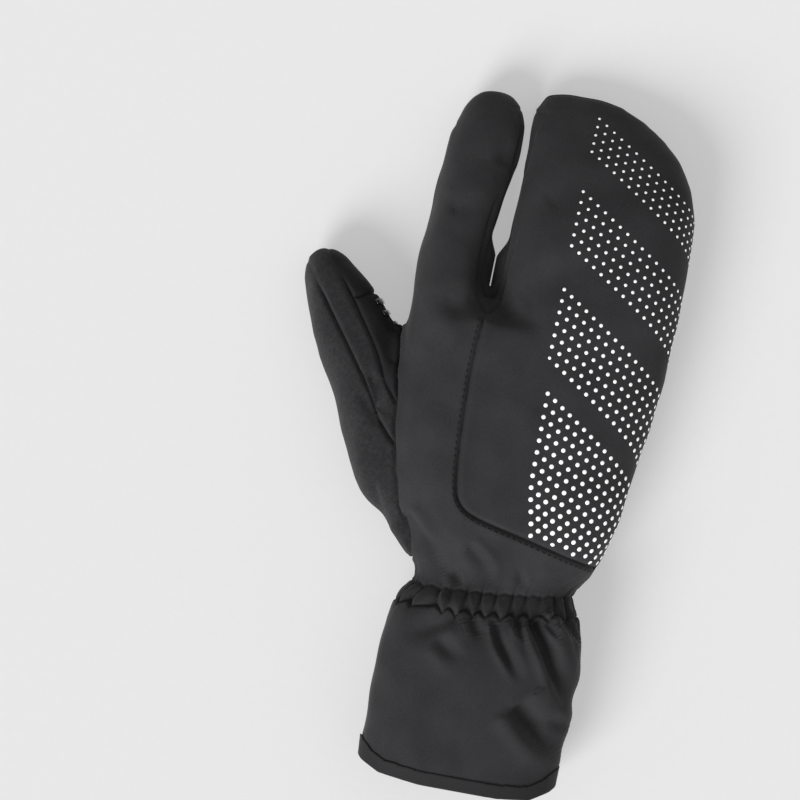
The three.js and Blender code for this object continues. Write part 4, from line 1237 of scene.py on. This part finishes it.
# %% Elastic trim: binding and gusset, ribbed every 0.9 mm
finish(
    "elastic_trim",
    ["cuff_binding_tape", "cuff_gusset_cloth"],
    {
        "ribs": (WAVE, {"Scale": 350, "Distortion": 0.4}, {"bands_direction": "Y"}),
        "grain": (NOISE, {"Scale": 1600, "Detail": 3}, {}),
    },
    ({"grain": 1}, (0, "1e1e20"), (1, "2c2c2e")),
    ({"ribs": 0.6, "grain": 1}, 0.25, 0.0002),
    Roughness=0.7, Specular_IOR_Level=0.3,
)

# %% Loop pile: a felt of fine nylon loops
finish(
    "loop_pile",
    ["loop_patch_tape"],
    {
        "loops": (CELLS, {"Scale": 1100}, {}),
        "fuzz": (NOISE, {"Scale": 2200, "Detail": 4, "Distortion": 1}, {}),
    },
    ({"fuzz": 1}, (0, "101012"), (1, "2f2f31")),
    ({"loops": 1}, 0.9, 0.0005),
    Roughness=0.9,
)

# %% Silicone: poured and cured glossy, with a faintly uneven skin
material, shader, made = finish(
    "silicone",
    ["palm_grip_bars", "index_grip_bars", "mitten_grip_bars", "thumb_grip_bars", "thumb_patch_bars"],
    {"flow": (NOISE, {"Scale": 350, "Detail": 2}, {})},
    relief=({"flow": 1}, 0.15, 0.0003),
    Base_Color=grey("0b0b0c"), Specular_IOR_Level=0.6, Coat_Weight=0.4, Coat_Roughness=0.1,
)
gloss = add_node(material, "ShaderNodeMapRange", {"Value": made["flow"], "To Min": 0.12, "To Max": 0.26})
material.node_tree.links.new(gloss.outputs["Result"], shader.inputs["Roughness"])

# %% Reflective print: pale grey beads in a clear binder. They send light straight back, so the print looks
# brighter than white paint. A faint glow of painted light, an emission on the print, stands for that.
finish(
    "reflective_print",
    ["reflective_dots"],
    {"beads": (CELLS, {"Scale": 2500}, {})},
    ({"beads": 1}, (0, "fafafa"), (1, "e2e2e4")),
    ({"beads": 1}, 0.2, 0.0001),
    # The emission is painted light: a glow that stands for the light the beads send back.
    Roughness=0.4, Emission_Color=(1, 1, 1, 1), Emission_Strength=0.3,
)

# %% Thread: black polyester, twisted, set down in its own furrow
finish(
    "thread",
    ["seam_thread"],
    {"twist": (WAVE, {"Scale": 700}, {"bands_direction": "DIAGONAL"})},
    ({"twist": 1}, (0, "0c0c0d"), (1, "1a1a1b")),
    ({"twist": 1}, 0.4, 0.0001),
    Roughness=0.65,
)

# %% Fleece lining: curled tufts, two millimetres wide
finish(
    "fleece",
    ["fleece_lining"],
    {"curls": (NOISE, {"Scale": 520, "Detail": 5, "Distortion": 1.5}, {})},
    ({"curls": 1}, (0.3, "1c1c1e"), (0.7, "3a3a3d")),
    ({"curls": 1}, 1, 0.001),
    Roughness=1, Sheen_Weight=0.2,
)

# %% [markdown]
# ## Studio
# A pale, faintly glowing sheet under a pale sky gives the even ground of a catalogue picture, which keeps some
# light in the gap between the fingers. A broad soft light from the thumb's side models the folds, and a weak one
# from the other side keeps the dark cloth readable. Both are lights without a distance, so that the sheet is as
# bright in every corner.

# %% Studio
LIGHTS = (("key", (-0.45, -0.85, 0.68), 30, 2.9), ("fill", (0.5, 0.2, 1.2), 60, 0.2))
SKY_STRENGTH = 0.33
bpy.ops.object.select_all(action="DESELECT")
bpy.ops.mesh.primitive_plane_add(size=12, location=(0, 0, 0))
floor = bpy.context.object
floor.name = "studio_floor"
finish(
    "studio_sheet",
    ["studio_floor"],
    {"paper": (NOISE, {"Scale": 300, "Detail": 2}, {})},
    ({"paper": 1}, (0, "b0b0b0"), (1, "b4b4b4")),
    Roughness=0.9, Specular_IOR_Level=0.1, Emission_Color=(1, 1, 1, 1), Emission_Strength=0.4,
)
for name, position, angle, power in LIGHTS:
    bpy.ops.object.light_add(type="SUN", location=position)
    light = bpy.context.object
    light.name = name
    light.data.angle = math.radians(angle)
    light.data.energy = power
    light.rotation_euler = Vector(position).to_track_quat("Z", "Y").to_euler()
world = bpy.data.worlds.new("studio")
bpy.context.scene.world = world
world.use_nodes = True
sky = world.node_tree.nodes["Background"]
sky.inputs["Color"].default_value = (1, 1, 1, 1)
sky.inputs["Strength"].default_value = SKY_STRENGTH
bpy.context.scene.view_settings.view_transform = "Standard"
print("studio ready")
